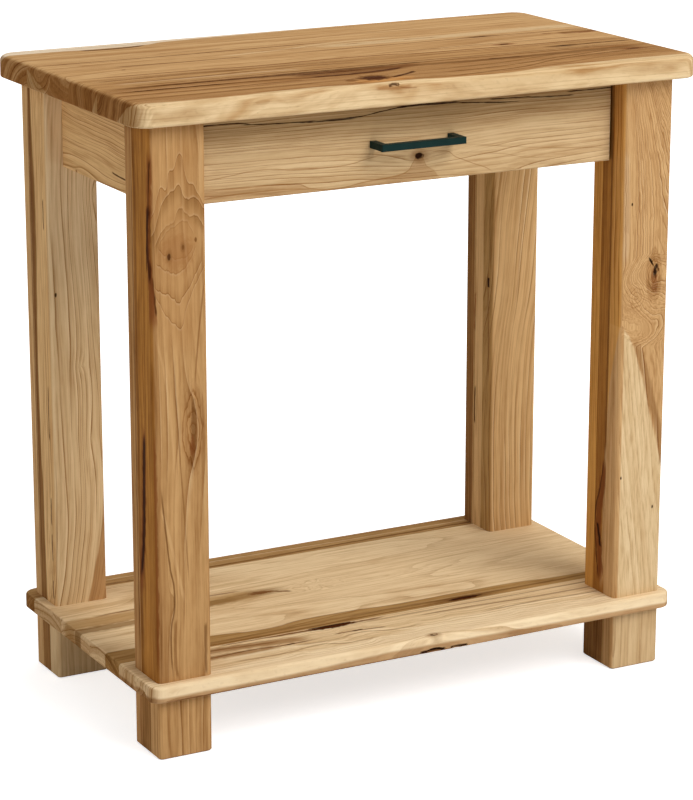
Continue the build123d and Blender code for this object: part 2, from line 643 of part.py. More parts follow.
def slide_cleats(pilots):
    """The boards between each side apron and the inner faces of its legs, which carry the slides."""
    z_span = (SLIDE_Z - CLEAT_HEIGHT / 2, SLIDE_Z + CLEAT_HEIGHT / 2)
    nodes = {}
    for name, side in SIDES.items():
        cleat = block((side * INSIDE_X, side * APRON_INNER_X), (-INSIDE_Y, INSIDE_Y), z_span)
        nodes[f"{name}_slide_cleat"] = minus(cleat, pilots)
    return nodes


def slide_fixings():
    """The screws of the cleats and slides, the holes on the carcase's side and those on the drawer's."""
    nodes = {"cleat_screws": [], "slide_carcase_screws": [], "slide_drawer_screws": []}
    carcase_pilots, drawer_pilots = [], []
    for side in SIDES.values():
        outward, inward = (side, 0, 0), (-side, 0, 0)
        for y in (-CLEAT_SCREW_SPREAD, CLEAT_SCREW_SPREAD):
            point = (side * INSIDE_X, y, SLIDE_Z)
            nodes["cleat_screws"].append(aimed(flat_screw(CLEAT_SCREW_LENGTH), point, outward))
            carcase_pilots.append(aimed(flat_hole(CLEAT_SCREW_LENGTH), point, outward))
        for offset in (-SLIDE_SCREW_SPREAD, 0, SLIDE_SCREW_SPREAD):
            y = BOX_MIDDLE_Y + offset
            point = (side * (INSIDE_X - SHEET), y, SLIDE_Z)
            nodes["slide_carcase_screws"].append(aimed(flat_screw(SLIDE_SCREW_LENGTH), point, outward))
            carcase_pilots.append(aimed(flat_hole(SLIDE_SCREW_LENGTH), point, outward))
            point = (side * (BOX_HALF + SHEET), y, SLIDE_Z)
            nodes["slide_drawer_screws"].append(aimed(flat_screw(BOX_SCREW_LENGTH), point, inward))
            drawer_pilots.append(aimed(flat_hole(BOX_SCREW_LENGTH), point, inward))
    return nodes, carcase_pilots, drawer_pilots


# ---- the whole table ----
def table():
    """Every node's solid, or list of solids, by node name."""
    leg_hardware, post_holes, insert_seats = leg_fixings()
    top_hardware, kerfs, top_pilots = top_fixings()
    slide_hardware, carcase_pilots, box_side_pilots = slide_fixings()
    drawer_hardware, box_front_pilots = drawer_fixings()
    nodes = {**leg_hardware, **top_hardware, **slide_hardware, **drawer_hardware}
    nodes.update(top_boards(top_pilots))
    nodes.update(shelf_boards(post_holes))
    cracks = hollows((LEG_X, -SPAN_Y / 2, SHELF_TOP), LEG_CRACKS)
    leg_cuts = [*post_holes, *insert_seats, *mortises(), *carcase_pilots, *cracks]
    nodes.update(legs_and_feet(leg_cuts, post_holes))
    nodes.update(aprons_and_rail(kerfs, top_pilots + carcase_pilots))
    nodes.update(slide_cleats(carcase_pilots))
    nodes.update(drawer_box(box_front_pilots, box_side_pilots))
    nodes["drawer_front"] = drawer_front(box_front_pilots)
    nodes["drawer_pull"] = drawer_pull(box_front_pilots)
    nodes.update(slides(carcase_pilots, box_side_pilots))
    return nodes


def write(name, parts):
    """One STEP file for a node, which holds one solid or several."""
    parts = parts if isinstance(parts, list) else [parts]
    solids = [solid for part in parts for solid in part.solids()]
    shape = solids[0] if len(solids) == 1 else Compound(children=solids)
    export_step(shape, f"parts/{name}.step")


os.makedirs("parts", exist_ok=True)
for node_name, node_parts in table().items():
    write(node_name, node_parts)
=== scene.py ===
import math
import bpy
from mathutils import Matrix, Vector


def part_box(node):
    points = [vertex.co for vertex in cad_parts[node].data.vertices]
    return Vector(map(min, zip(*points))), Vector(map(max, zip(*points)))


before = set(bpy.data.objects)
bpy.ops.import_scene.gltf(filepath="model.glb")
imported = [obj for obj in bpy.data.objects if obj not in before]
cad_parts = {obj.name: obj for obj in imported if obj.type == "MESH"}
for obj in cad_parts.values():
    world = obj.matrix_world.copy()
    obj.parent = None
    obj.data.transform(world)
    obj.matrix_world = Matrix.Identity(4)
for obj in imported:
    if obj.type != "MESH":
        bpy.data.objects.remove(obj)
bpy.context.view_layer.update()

# A rustic hickory hall table with one drawer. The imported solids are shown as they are: this script gives
# each board, stave and fitting its finish, and sets the floor, the lamps and the camera.
#
# The scene is in metres. Places on the wood are in millimetres, in the same frame.

PER_METRE = 1000.0

# Where the faces that carry marks lie, in millimetres.
TOP_FACE = 762.0
TOP_EDGE = -202.0  # the front one
SHELF_FACE = 93.0
FRONT_FACE = -182.0  # of the front legs
LEFT_FACE = -341.0  # the outer side of the left legs
INNER_FACE = 273.0  # the inner side of the right legs


# ---- colours and surface ----
def linear(level):
    """A display level from 0 to 255 as linear light."""
    share = level / 255
    return share / 12.92 if share <= 0.04045 else ((share + 0.055) / 1.055) ** 2.4


def rgb(red, green, blue):
    return (linear(red), linear(green), linear(blue), 1.0)


# A tone is the lighter and the darker colour of one kind of wood. A tint is how much red, green and blue
# a mark takes away.
GOLD = (rgb(208, 167, 116), rgb(178, 133, 84))
HONEY = (rgb(198, 155, 103), rgb(160, 116, 69))
AMBER = (rgb(180, 134, 84), rgb(138, 94, 52))
BROWN = (rgb(158, 114, 66), rgb(112, 72, 36))
UMBER = (rgb(124, 80, 42), rgb(82, 48, 24))
CREAM = (rgb(226, 198, 154), rgb(202, 168, 120))
SAND = (rgb(214, 184, 140), rgb(186, 150, 104))
BISCUIT = (rgb(212, 182, 144), rgb(190, 156, 114))
TAN = (rgb(216, 160, 86), rgb(178, 122, 58))
RUSSET = (rgb(178, 122, 58), rgb(130, 82, 36))
STRAW = (rgb(222, 182, 128), rgb(190, 146, 94))
PALE = (rgb(240, 212, 168), rgb(218, 185, 139))
KHAKI = (rgb(184, 144, 90), rgb(144, 106, 58))
OLIVE = (rgb(172, 140, 94), rgb(134, 102, 62))
IVORY = (rgb(246, 222, 182), rgb(228, 198, 154))
MAPLE = (rgb(226, 200, 158), rgb(204, 172, 126))
BARK = rgb(48, 26, 14)
RED_BARK = rgb(74, 36, 14)
RUST = rgb(126, 70, 34)

LINE_TINT = (0.38, 0.51, 0.63)
SMEAR_TINT = (0.30, 0.44, 0.58)
GLOW_TINT = rgb(232, 206, 164)
SHEEN = rgb(255, 226, 190)
PORE_TINT = (0.34, 0.42, 0.48)
END_TINT = (0.50, 0.63, 0.75)

PORE_SHARE = 0.8
END_CONTRAST = 1.3
STAVE_SHIFT = 37.0  # from the rings of one stave of a foot to those of the next
WOOD_ROUGHNESS = 0.50
RELIEF = 0.6
GRAIN_DEPTH = 0.25  # millimetres
PLY_THICKNESS = 1.2  # millimetres
TOP_GLOSS = 0.001
WOOD_GLOSS = 0.008


# ---- shader arithmetic ----
# The mix node has sockets for numbers and vectors, too, so its colours go by number.
FIRST_COLOUR, SECOND_COLOUR, MIXED_COLOUR = 6, 7, 2


def feed(tree, socket, value):
    """A field is linked to the socket; a number or colour is set on it."""
    if isinstance(value, Output):
        tree.links.new(value.output, socket)
    else:
        socket.default_value = value


def path(line):
    """The points of a line, which is written as pairs of places: "93,-156 287,-158"."""
    return [tuple(float(number) for number in point.split(",")) for point in line.split()]


def maths(operation):
    """A method that does one operation of the maths node, on the field and what it is given."""
    return lambda field, *others: field.calculate(operation, field, *others)


class Output:
    """What a node gives, in its tree of shader nodes."""

    def __init__(self, tree, output):
        self.tree = tree
        self.output = output


class Field(Output):
    """A number that varies over a surface, with plain arithmetic. part is what comes after the decimal
    point, and over is 1 above a limit and 0 below it."""

    def calculate(self, operation, *values):
        node = self.tree.nodes.new("ShaderNodeMath")
        node.operation = operation
        for socket, value in zip(node.inputs, values):
            feed(self.tree, socket, value)
        return Field(self.tree, node.outputs[0])

    __add__ = maths("ADD")
    __sub__ = maths("SUBTRACT")
    __mul__ = maths("MULTIPLY")
    __truediv__ = maths("DIVIDE")
    root = maths("SQRT")
    size = maths("ABSOLUTE")
    power = maths("POWER")
    part = maths("FRACT")
    at_most = maths("MINIMUM")
    at_least = maths("MAXIMUM")
    over = maths("GREATER_THAN")

    def __rsub__(self, other):
        return self.calculate("SUBTRACT", other, self)

    def fade(self):
        """1 at 0, and dying away as the field grows."""
        return self.calculate("EXPONENT", self * -1.0)

    def held(self):
        """Held between 0 and 1."""
        return self.at_least(0.0).at_most(1.0)

    def ease(self, start, end):
        """0 at the start and 1 at the end, with a smooth step between; the end may be the lower one."""
        node = self.tree.nodes.new("ShaderNodeMapRange")
        node.interpolation_type = "SMOOTHSTEP"
        for name, value in (("Value", self), ("From Min", start), ("From Max", end)):
            feed(self.tree, node.inputs[name], value)
        return Field(self.tree, node.outputs["Result"])

    def follow(self, line):
        """A smooth curve through the line's places and values, read at this field's value."""
        points = path(line)
        places = [place for place, _ in points]
        values = [value for _, value in points]
        low, high = min(values), max(values)
        span, rise = places[-1] - places[0], max(high - low, 1e-6)
        node = self.tree.nodes.new("ShaderNodeFloatCurve")
        curve = node.mapping.curves[0]
        while len(curve.points) < len(points):
            curve.points.new(0.5, 0.5)
        for point, (place, value) in zip(curve.points, points):
            point.location = ((place - places[0]) / span, (value - low) / rise)
        node.mapping.update()
        feed(self.tree, node.inputs["Value"], (self - places[0]) / span)
        return Field(self.tree, node.outputs[0]) * rise + low


class Colour(Output):
    """A colour that varies over a surface."""

    def towards(self, other, share):
        return blend(self.tree, self, other, share)

    def darker(self, tint, share):
        """Less red, green and blue by the tint's amounts, times the share."""
        red, green, blue = tint
        return blend(self.tree, self, (1 - red, 1 - green, 1 - blue, 1.0), share, "MULTIPLY")


def blend(tree, first, second, share, kind="MIX"):
    node = tree.nodes.new("ShaderNodeMix")
    node.data_type = "RGBA"
    node.blend_type = kind
    feed(tree, node.inputs["Factor"], share)
    feed(tree, node.inputs[FIRST_COLOUR], first)
    feed(tree, node.inputs[SECOND_COLOUR], second)
    return Colour(tree, node.outputs[MIXED_COLOUR])


def noise(x, y, z, detail=2.0, roughness=0.5, channels=1):
    """Smooth noise about 0.5, at a point given by three fields; channels don't depend on each other."""
    tree = x.tree
    point = tree.nodes.new("ShaderNodeCombineXYZ")
    for socket, value in zip(point.inputs, (x, y, z)):
        feed(tree, socket, value)
    node = tree.nodes.new("ShaderNodeTexNoise")
    node.inputs["Scale"].default_value = 1.0
    node.inputs["Detail"].default_value = detail
    node.inputs["Roughness"].default_value = roughness
    tree.links.new(point.outputs[0], node.inputs["Vector"])
    if channels == 1:
        return Field(tree, node.outputs["Fac"])
    parts = tree.nodes.new("ShaderNodeSeparateColor")
    tree.links.new(node.outputs["Color"], parts.inputs[0])
    return [Field(tree, output) for output in parts.outputs[:channels]]


def new_material(name):
    """The material, its node tree and its shader."""
    material = bpy.data.materials.new(name)
    material.use_nodes = True
    return material, material.node_tree, material.node_tree.nodes["Principled BSDF"]


def vector(tree, kind, name):
    """The x, y and z of what a new node gives under a name."""
    parts = tree.nodes.new("ShaderNodeSeparateXYZ")
    tree.links.new(tree.nodes.new(kind).outputs[name], parts.inputs[0])
    return {axis: Field(tree, output) for axis, output in zip("xyz", parts.outputs)}


def surface_place(tree):
    """Where a point of the surface is at rest, in millimetres, as x, y and z."""
    place = vector(tree, "ShaderNodeTexCoord", "Object")
    return {axis: field * PER_METRE for axis, field in place.items()}


def facing(tree, axis):
    """How squarely the surface faces along an axis, from 0 to 1."""
    return vector(tree, "ShaderNodeNewGeometry", "Normal")[axis].size()


def within(field, near):
    """1 where the field is within a reach of a place, given as (place, reach)."""
    place, reach = near
    return (field - place).size().ease(reach + 1.0, reach)


def bump(tree, shader, height, depth, strength):
    """Small relief: the depth is in millimetres."""
    node = tree.nodes.new("ShaderNodeBump")
    node.inputs["Distance"].default_value = depth / PER_METRE
    node.inputs["Strength"].default_value = strength
    feed(tree, node.inputs["Height"], height)
    tree.links.new(node.outputs["Normal"], shader.inputs["Normal"])


# ---- hickory ----
class Wood:
    """The growth rings of one board, and what is painted over them.

    grain names the axes along the grain, across the board's face and out of its face. The pith is where
    the tree's middle lies, across and out from the board's own middle. lean is how far the rings shift
    across and out for each millimetre along the grain, and seams divides a foot into its staves. Places
    are in the shared frame, along the grain first and then across it.
    """

    def __init__(
        self, node, grain, pith, lean=(0.0, 0.0), ring=3.4, wave=3.0, jag=5.0, seed=0.0, drift=None, seams=()
    ):
        self.material, self.tree, self.shader = new_material(f"{node}_finish")
        place = surface_place(self.tree)
        low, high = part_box(node)
        self.along, self.across, self.out = (place[axis] for axis in grain)
        self.across_middle, self.out_middle = (
            (low["xyz".index(axis)] + high["xyz".index(axis)]) / 2 * PER_METRE for axis in grain[1:]
        )
        self.end = facing(self.tree, grain[0]).ease(0.40, 0.85)
        self.side = facing(self.tree, grain[1]).ease(0.45, 0.85)
        self.ring, self.seed = ring, seed
        self.stave = shift = 0.0
        if seams:
            self.stave = sum((self.out.over(seam) for seam in seams[1:]), self.out.over(seams[0]))
            shift = self.stave * STAVE_SHIFT
        start = shift + seed
        sway = noise(self.along / 170.0 + start, self.across / 70.0, self.out / 70.0 + seed, 2.0, 0.5, 3)
        columns = noise(self.along / 210.0 + start, self.across / 10.0, self.out / 10.0, 1.4)
        self.ragged = self.along + ((columns - 0.5).size() * 2.0 - 0.25) * (2 * jag)
        self.sway = sway[2] - 0.5
        flat = 1.0 - self.side
        across = self.across - self.across_middle - pith[0] + self.ragged * flat * lean[0] + shift
        if drift:
            across = across + self.along.follow(drift)
        self.bent_across = across + (sway[0] - 0.5) * (2 * wave)
        out = self.out - self.out_middle - pith[1] + self.ragged * lean[1]
        self.bent_out = out + (sway[1] - 0.5) * (2 * wave)
        self.radius = (self.bent_across * self.bent_across + self.bent_out * self.bent_out).root()

    def knot(self, place, reach, rise, point=2.0):
        """Rings that close round a place (along, across), dying away over a reach; point below 2 gives
        arches with a peak."""
        above = ((self.ragged - place[0]).size() / reach[0]).power(point)
        beside = ((self.across - place[1]).size() / reach[1]).power(point)
        self.radius = self.radius + (above + beside).power(1.0 / point).fade() * rise

    def fan(self, centre, low, lean, offset):
        """Grain that spreads from a place (along, across) and runs straight, leaning, below a height."""
        reach = centre[0] - self.ragged.at_least(low)
        fall = (low - self.ragged).at_least(0.0) * lean
        bent = (self.across - centre[1] - fall) / reach * 300.0 + offset + self.sway * 8.0
        bent = bent * (1.0 - self.side) + self.bent_across * self.side
        self.radius = (bent * bent + self.bent_out * self.bent_out).root()

    def curl(self, place, reach, rise, fineness=14.0, steep=0.0, stretch=1.0):
        """Curly, burled grain near a place (along, across); steep turns it across the board, and stretch
        makes neighbouring lines wave together."""
        offset_along = (self.along - place[0]) / reach[0]
        offset_across = (self.across - place[1]) / reach[1]
        away = offset_along * offset_along + offset_across * offset_across
        share = away.ease(1.0, 0.1) * (1.0 - self.side)
        ripple = noise(self.along / fineness, self.across / (fineness * stretch), self.out / fineness, 1.0)
        self.radius = self.radius + share * ((ripple - 0.5) * (2 * rise) + (self.along - place[0]) * steep)

    def begin(self, tone):
        """The rings' lines, the slow bands of colour, fine streaks and pores, over a first tone."""
        radius, along, seed = self.radius, self.along, self.seed
        uneven = noise(radius / (self.ring * 6.0), along / 900.0, self.sway + seed, 1.0) - 0.5
        part = (radius / self.ring + uneven * 3.4).part()
        vary = noise(radius / (self.ring * 2.3), along / 240.0, self.sway + (seed + 5), 1.0)
        self.line = part.ease(0.24, 0.0) * vary.ease(0.30, 0.66)
        self.shade = part.ease(0.95, 0.0) * vary
        self.glow = part.ease(0.72, 1.0) * vary.ease(0.42, 0.70) * (1.0 - self.side * 0.8)
        self.band = noise(radius / 12.0, along / 620.0, self.sway * 0.6 + seed, 2.0)
        self.streak = noise(along / 110.0, radius * 0.38, self.bent_across * 0.30 + seed, 4.0, 0.62)
        self.smear = noise(along / 120.0, radius / 5.0, self.sway * 2.0 + (seed + 7), 3.0, 0.6)
        self.mottle = noise(along / 24.0, self.bent_across / 8.0, self.out / 8.0 + seed, 2.0)
        dots = noise(along / 7.0, radius * 2.1, self.bent_across * 2.1, 1.0)
        self.pore = dots.ease(0.60, 0.72) * (self.line * 0.75 + 0.20)
        self.colour = self.wood(tone)

    def wood(self, tone):
        light, dark = tone
        share = (self.band - 0.5) * 1.5 + (self.streak - 0.5) * 1.3 + (self.mottle - 0.5) * 0.5
        return blend(self.tree, light, dark, (share + self.shade * 0.5 + 0.25).held())

    def paint(self, tone, share):
        self.colour = self.colour.towards(self.wood(tone), share)

    def skin(self, tone, side, strength=1.0):
        """Another tone on the board's side face, the one towards +1 or -1 across."""
        self.paint(tone, self.side * ((self.across - self.across_middle) * side).over(0.0) * strength)

    def section(self, axis):
        """The field that a line's points are on, out of the two across the grain, and the other one."""
        return (self.across, self.out) if axis == "across" else (self.out, self.across)

    def zone(
        self, tone, line, side, edge=2.5, strength=1.0, axis="across", near=None,
        slant=0.0, level=0.0, calm=0.0,
    ):
        """Another tone on one side (+1 beyond, -1 before) of a line of along,axis points. The line moves
        by the slant as the other axis leaves the level. near keeps the tone to a part of the other axis,
        a place and a reach, and calm takes the rings' lines out of it."""
        field, other = self.section(axis)
        gap = field - self.along.follow(line) + self.sway * 3.0 + (self.streak - 0.5) * 4.0
        if slant:
            gap = gap + (other - level) * slant
        share = (gap * side).ease(-edge, edge) * strength
        if near:
            share = share * within(other, near)
        self.paint(tone, share)
        self.line = self.line * (1.0 - share * calm)

    def vein(self, colour, line, width, strength=1.0, broken=0.5, axis="across", near=None):
        """A streak along a line of along,axis points; broken is how much it breaks up. near keeps it to
        a part of the other axis: a place and a reach."""
        field, other = self.section(axis)
        gap = (field - self.along.follow(line)).size()
        ragged = noise(self.along / 15.0, field / 4.0, self.sway + (self.seed + 9), 2.5)
        wide = (ragged - 0.5) * (2.6 * width * broken) + width
        (first, _), *_, (last, _) = path(line)
        fade = (last - first) * 0.12
        ends = self.along.ease(first, first + fade) * self.along.ease(last, last - fade)
        share = (gap / wide.at_least(0.05)).ease(1.05, 0.35) * ends * strength
        if near:
            share = share * within(other, near)
        self.colour = self.colour.towards(colour, share)

    def veins(self, *rows, axis="across", near=None):
        """Streaks that share an axis and what they are near. A row is colour, line, width and so on."""
        for row in rows:
            self.vein(*row, axis=axis, near=near)

    def edge_grain(self, strength):
        """Fine lines along the board on its edge, in place of the rings' broad figure."""
        depth = self.out * 0.55 + self.sway * 3.0
        fine = noise(self.along / 300.0, depth, self.across / 40.0 + self.seed, 3.0)
        self.line = self.line * (1.0 - self.side * 0.9)
        self.glow = self.glow * (1.0 - self.side)
        self.colour = self.colour.darker(LINE_TINT, fine.ease(0.48, 0.72) * self.side * strength)

    def contour(self, tone, line, depth, strength, darkness):
        """A wavering line across the grain, of across,along points. On one side a shade dies away over
        the depth: below the line, or above it for a negative depth. The other side is a little lighter
        at the line."""
        (first, _), *_, (last, _) = path(line)
        ends = self.across.ease(first - 0.5, first + 2.5) * self.across.ease(last + 0.5, last - 2.5)
        height = (self.across.follow(line) - self.ragged) * math.copysign(1.0, depth)
        shade = height.ease(abs(depth), 0.0) * height.ease(-0.4, 0.4)
        self.paint(tone, shade * ends * strength)
        light = height.ease(-4.0, -0.6) * height.ease(0.2, -0.6)
        self.colour = self.colour.towards(GLOW_TINT, light * ends * 0.16)
        self.colour = self.colour.darker(LINE_TINT, height.size().ease(1.3, 0.2) * ends * darkness)

    def eye(self, place, half_sizes, tone, rings, strength, shade):
        """Lines that close round a knot at (along, across) like the lids of an eye."""
        along = ((self.along - place[0]).size() / half_sizes[0]).power(1.5)
        across = ((self.across - place[1]).size() / half_sizes[1]).power(1.8)
        waver = noise(self.along / 22.0, self.across / 7.0, self.seed, 2.0) - 0.5
        away = (along + across).power(0.6) + waver * 0.5
        here = away.ease(1.1, 0.85)
        self.paint(tone, here * shade)
        lid = (away * rings + 0.5).part().ease(0.45, 0.0)
        self.colour = self.colour.darker(LINE_TINT, lid * here * strength)

    def spot(self, place, half_sizes, colour=BARK, strength=1.0, halo=None, tilt=0.0, near=None):
        """A knot's dark heart at (along, across), with a halo round it."""
        along = self.along - place[0]
        across = self.across - place[1]
        turned_along = (along * math.cos(tilt) + across * math.sin(tilt)) / half_sizes[0]
        turned_across = (across * math.cos(tilt) - along * math.sin(tilt)) / half_sizes[1]
        away = (turned_along * turned_along + turned_across * turned_across).root()
        away = away + (noise(self.along / 6.0, self.across / 5.0, self.out / 5.0, 2.5) - 0.5) * 0.9
        here = within(self.out, near) if near else 1.0
        if halo:
            self.colour = self.colour.towards(halo, away.ease(2.8, 0.8) * 0.65 * here)
        self.colour = self.colour.towards(colour, away.ease(1.1, 0.6) * strength * here)

    def finish(self, lines=1.0, ends=0.8, streaks=1.5, smears=0.4, glows=0.2, gloss=WOOD_GLOSS):
        """The rings' lines and the pores over the colours, darker ends, and a low satin finish."""
        colour = self.colour.darker(LINE_TINT, (self.line * (self.end * 0.6 + lines)).held())
        colour = colour.towards(GLOW_TINT, self.glow * glows)
        colour = colour.darker(SMEAR_TINT, self.smear.ease(0.50, 0.76) * smears)
        colour = colour.darker(PORE_TINT, self.pore * PORE_SHARE)
        colour = colour.darker(LINE_TINT, ((self.streak - 0.5) * streaks + 0.04).held())
        colour = colour.darker(END_TINT, (self.end * ((self.band - 0.5) * END_CONTRAST + ends)).held())
        feed(self.tree, self.shader.inputs["Base Color"], colour)
        rough = self.pore * 0.15 + self.streak * 0.16 + self.end * 0.1 + WOOD_ROUGHNESS
        feed(self.tree, self.shader.inputs["Roughness"], rough)
        self.shader.inputs["Specular IOR Level"].default_value = gloss
        self.shader.inputs["Specular Tint"].default_value = SHEEN
        height = self.streak * 0.5 + self.mottle * 0.4 - self.line * 0.4 - self.pore
        bump(self.tree, self.shader, height, GRAIN_DEPTH, RELIEF)
        return self.material


def dress(node, material):
    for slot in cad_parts[node].material_slots:
        slot.material = material


# ---- the top: grain along x, boards side by side in y ----
FLAT = "xyz"


def top_front_board(node):
    board = Wood(node, FLAT, (56, 14), lean=(0.012, 0), ring=5.5, wave=4, seed=1)
    board.knot((-52, -180), (60, 16), 20)
    board.knot((152, -118), (70, 14), 8)
    board.begin(AMBER)
    board.paint(HONEY, 0.35)
    board.zone(GOLD, "-364,-186 -160,-190 -90,-200 40,-204 120,-198 364,-176", -1, 8, strength=0.6)
    edge = (
        "-364,-187 -320,-196 -250,-197 -200,-193 -140,-191 -80,-198 -40,-195 20,-201 90,-202 166,-192 "
        "233,-190 318,-188 364,-190"
    )
    board.zone(CREAM, edge, -1, 1.6, slant=1.4, level=TOP_FACE)
    board.end = board.end * ((board.across + 190).ease(-12, 8) * 0.7 + 0.3)
    board.veins(
        (BROWN[1], "-40,-106 60,-112 145,-116 250,-112 364,-110", 9, 0.7, 0.6),
        (BROWN[1], "-364,-102 -206,-101 -60,-107 30,-101", 6, 0.9, 0.5),
        (UMBER[0], "-140,-112 -80,-116 -20,-118 20,-108 44,-98", 15, 0.75, 0.35),
        (RED_BARK, "-310,-100 -190,-101 -60,-101 20,-100", 2.6, 0.9, 1),
        (RED_BARK, "-125,-109 -85,-111 -36,-110", 2.8, 0.9, 0.8),
        (UMBER[0], (
            "-380,-124 -265,-123 -150,-125 -110,-131 -55,-133 -20,-129 0,-121 12,-110 36,-101"
        ), 5, 0.95, 0.6),
        (UMBER[1], "-340,-123 -265,-122 -210,-124", 3.4, 0.9, 0.9),
        (RED_BARK, "-120,-128 -60,-130 -14,-124 14,-110", 5, 0.9, 0.7),
        (UMBER[0], "-380,-143 -250,-146 -160,-141 -110,-148", 3.4, 0.8, 0.8),
        (BROWN[1], "-380,-166 -240,-168 -110,-160", 2.2, 0.6, 0.9),
        (BROWN[1], "10,-197 120,-182 200,-152 364,-124", 2.4, 0.8, 0.7),
        (BROWN[1], "20,-170 120,-162 210,-138 300,-120", 2.4, 0.8, 0.7),
        (BROWN[1], "20,-148 110,-144 180,-128 240,-114", 2, 0.7, 0.7),
        (BROWN[1], "80,-196 180,-180 260,-160 364,-150", 2, 0.6, 0.8),
        (UMBER[1], "124,-116 145,-113 172,-117", 3.4, 0.8, 0.8),
    )
    board.spot((-52, -180), (44, 15), rgb(206, 148, 86), 0.7, near=(TOP_FACE, 12))
    board.spot((-54, -164), (26, 19), UMBER[0], 0.8, near=(TOP_FACE, 12))
    board.spot((-55, -166), (19, 15), RED_BARK, 0.95, near=(TOP_FACE, 12))
    board.spot((-86, -170), (9, 8), UMBER[0], 0.8, near=(TOP_FACE, 12))
    board.vein(RED_BARK, "-36,-172 -12,-160 10,-146", 5, 0.95, 0.5)
    board.veins(
        (AMBER[0], "-74,757 -52,756 -26,757", 3.4, 0.6, 0.6),
        (UMBER[1], "-57,758 -50,759 -43,757", 2, 0.85, 0.5),
        (RUST, "-44,757 -34,755 -20,754", 0.8, 0.4, 0.8),
        axis="out", near=(TOP_EDGE, 6),
    )
    board.edge_grain(0.45)
    board.spot((320, -125), (9, 3.6), UMBER[1], 0.9, halo=RUST)
    return board.finish(lines=1, ends=0.9, streaks=2.2, smears=1, gloss=TOP_GLOSS)


def top_second_board(node):
    board = Wood(node, FLAT, (130, -30), lean=(0.015, 0), ring=7, wave=4, seed=2)
    board.knot((260, -73), (40, 10), 5)
    board.begin(HONEY)
    board.paint(AMBER, 0.1)
    board.zone(GOLD, "-364,-32 -160,-35 0,-34 60,-38 364,-42", 1, 4)
    board.veins(
        (BISCUIT[0], "-340,-74 -220,-70 -90,-75", 5, 0.4, 0.9),
        (BROWN[1], "-350,-50 -250,-45 -150,-52", 2.4, 0.8, 0.9),
        (BROWN[1], "-340,-62 -240,-65 -130,-58 0,-62", 2.4, 0.8, 0.9),
        (BROWN[1], "-364,-84 -200,-86 0,-84 200,-88 364,-86", 3, 0.7, 0.8),
        (UMBER[0], "-364,-96 -206,-96 -60,-95 60,-95 364,-96", 3, 0.9, 0.7),
        (BARK, "-150,-96 -60,-96 20,-94 60,-96", 2.2, 0.8, 0.9),
        (UMBER[0], "-380,-22 -200,-25 -120,-30 -40,-26 30,-29 80,-38 200,-42 380,-40", 2.6, 0.9, 0.5),
        (BROWN[1], "-300,-38 -120,-42 40,-48 200,-52 364,-50", 2, 0.6, 0.9),
        (UMBER[1], "228,-65 262,-69 300,-68 360,-70", 3, 0.95, 0.8),
    )
    board.zone(CREAM, "-364,-97 364,-97", -1, 1, slant=0.62, level=757)
    board.spot((258, -69), (14, 3.4), BARK, 0.9, halo=BROWN[1])
    board.spot((199, -27), (8, 4), UMBER[1], 0.95, halo=RUST)
    return board.finish(lines=1, ends=1, streaks=2.2, smears=1, gloss=TOP_GLOSS)


def top_middle_board(node):
    board = Wood(node, FLAT, (-24, 90), lean=(0, 0.03), ring=8, wave=4, seed=3)
    board.begin(GOLD)
    board.zone(HONEY, "-364,2 -100,10 150,2 364,-4", 1, 9, strength=0.4)
    board.veins(
        (BROWN[1], "20,-17 150,-15 320,-17", 1.8, 0.8, 0.8),
        (BROWN[0], "-300,-8 -100,-6 130,-6 340,-4", 1.6, 0.5, 0.9),
        (UMBER[0], "300,17 335,15 380,14", 8, 0.8),
        (RUST, "325,11 345,12 380,10", 5, 0.6),
    )
    board.spot((290, 22), (10, 3), UMBER[0], 0.8)
    board.spot((-280, 17), (3, 1.6), UMBER[1])
    return board.finish(lines=0.7, ends=0.9, smears=0.35, gloss=TOP_GLOSS)


def top_fourth_board(node):
    board = Wood(node, FLAT, (-6, 20), lean=(0.01, 0), ring=6.5, wave=4.5, seed=4)
    board.begin(GOLD)
    board.veins(
        (CREAM[0], "-20,62 90,60 200,62 380,66", 15, 0.55, 0.4),
        (CREAM[0], "-150,50 -60,62 20,80 120,86", 3.6, 0.6),
        (BROWN[1], "-380,85 -200,84 -90,86 20,88", 2.2, 0.9, 0.7),
        (BROWN[1], "-160,88 -40,86 30,90", 2, 0.6, 0.8),
        (BROWN[1], "-290,39 -220,37 -170,35 -110,37", 2.6, 0.9, 0.7),
        (BROWN[1], "-70,36 60,35 200,37 380,35", 2, 0.9, 0.5),
        (BROWN[0], "-364,60 -220,58 -120,62", 1.8, 0.6, 0.9),
    )
    board.zone(CREAM, "-364,735 364,735", -1, 1.2, slant=-0.33, level=37, axis="out")
    board.spot((205, 38), (14, 3.4), UMBER[1], 0.95, halo=BROWN[1])
    return board.finish(lines=0.8, ends=0.95, smears=0.4, gloss=TOP_GLOSS)


def top_rear_board(node):
    board = Wood(node, FLAT, (-60, -60), lean=(-0.01, 0), ring=9, wave=4, seed=5)
    board.begin(GOLD)
    edge = "-364,174 -300,174 -250,170 -190,172 -150,184 0,192 120,198 364,203"
    board.veins(
        (BROWN[1], "-200,104 -160,103 -110,105", 2, 0.8),
        (BROWN[0], "-364,120 -198,126 0,130 220,124 364,128", 2.2, 0.5, 0.9),
        (BROWN[0], "-364,146 -100,150 364,148", 2, 0.4, 0.9),
    )
    board.zone((rgb(238, 218, 190), rgb(216, 190, 156)), edge, 1, 1.6, slant=1.2, level=TOP_FACE)
    board.vein(UMBER[1], "-272,172 -235,163 -205,165 -182,173", 4, 0.95, 0.4)
    return board.finish(lines=0.7, ends=0.85, smears=0.35, gloss=TOP_GLOSS)


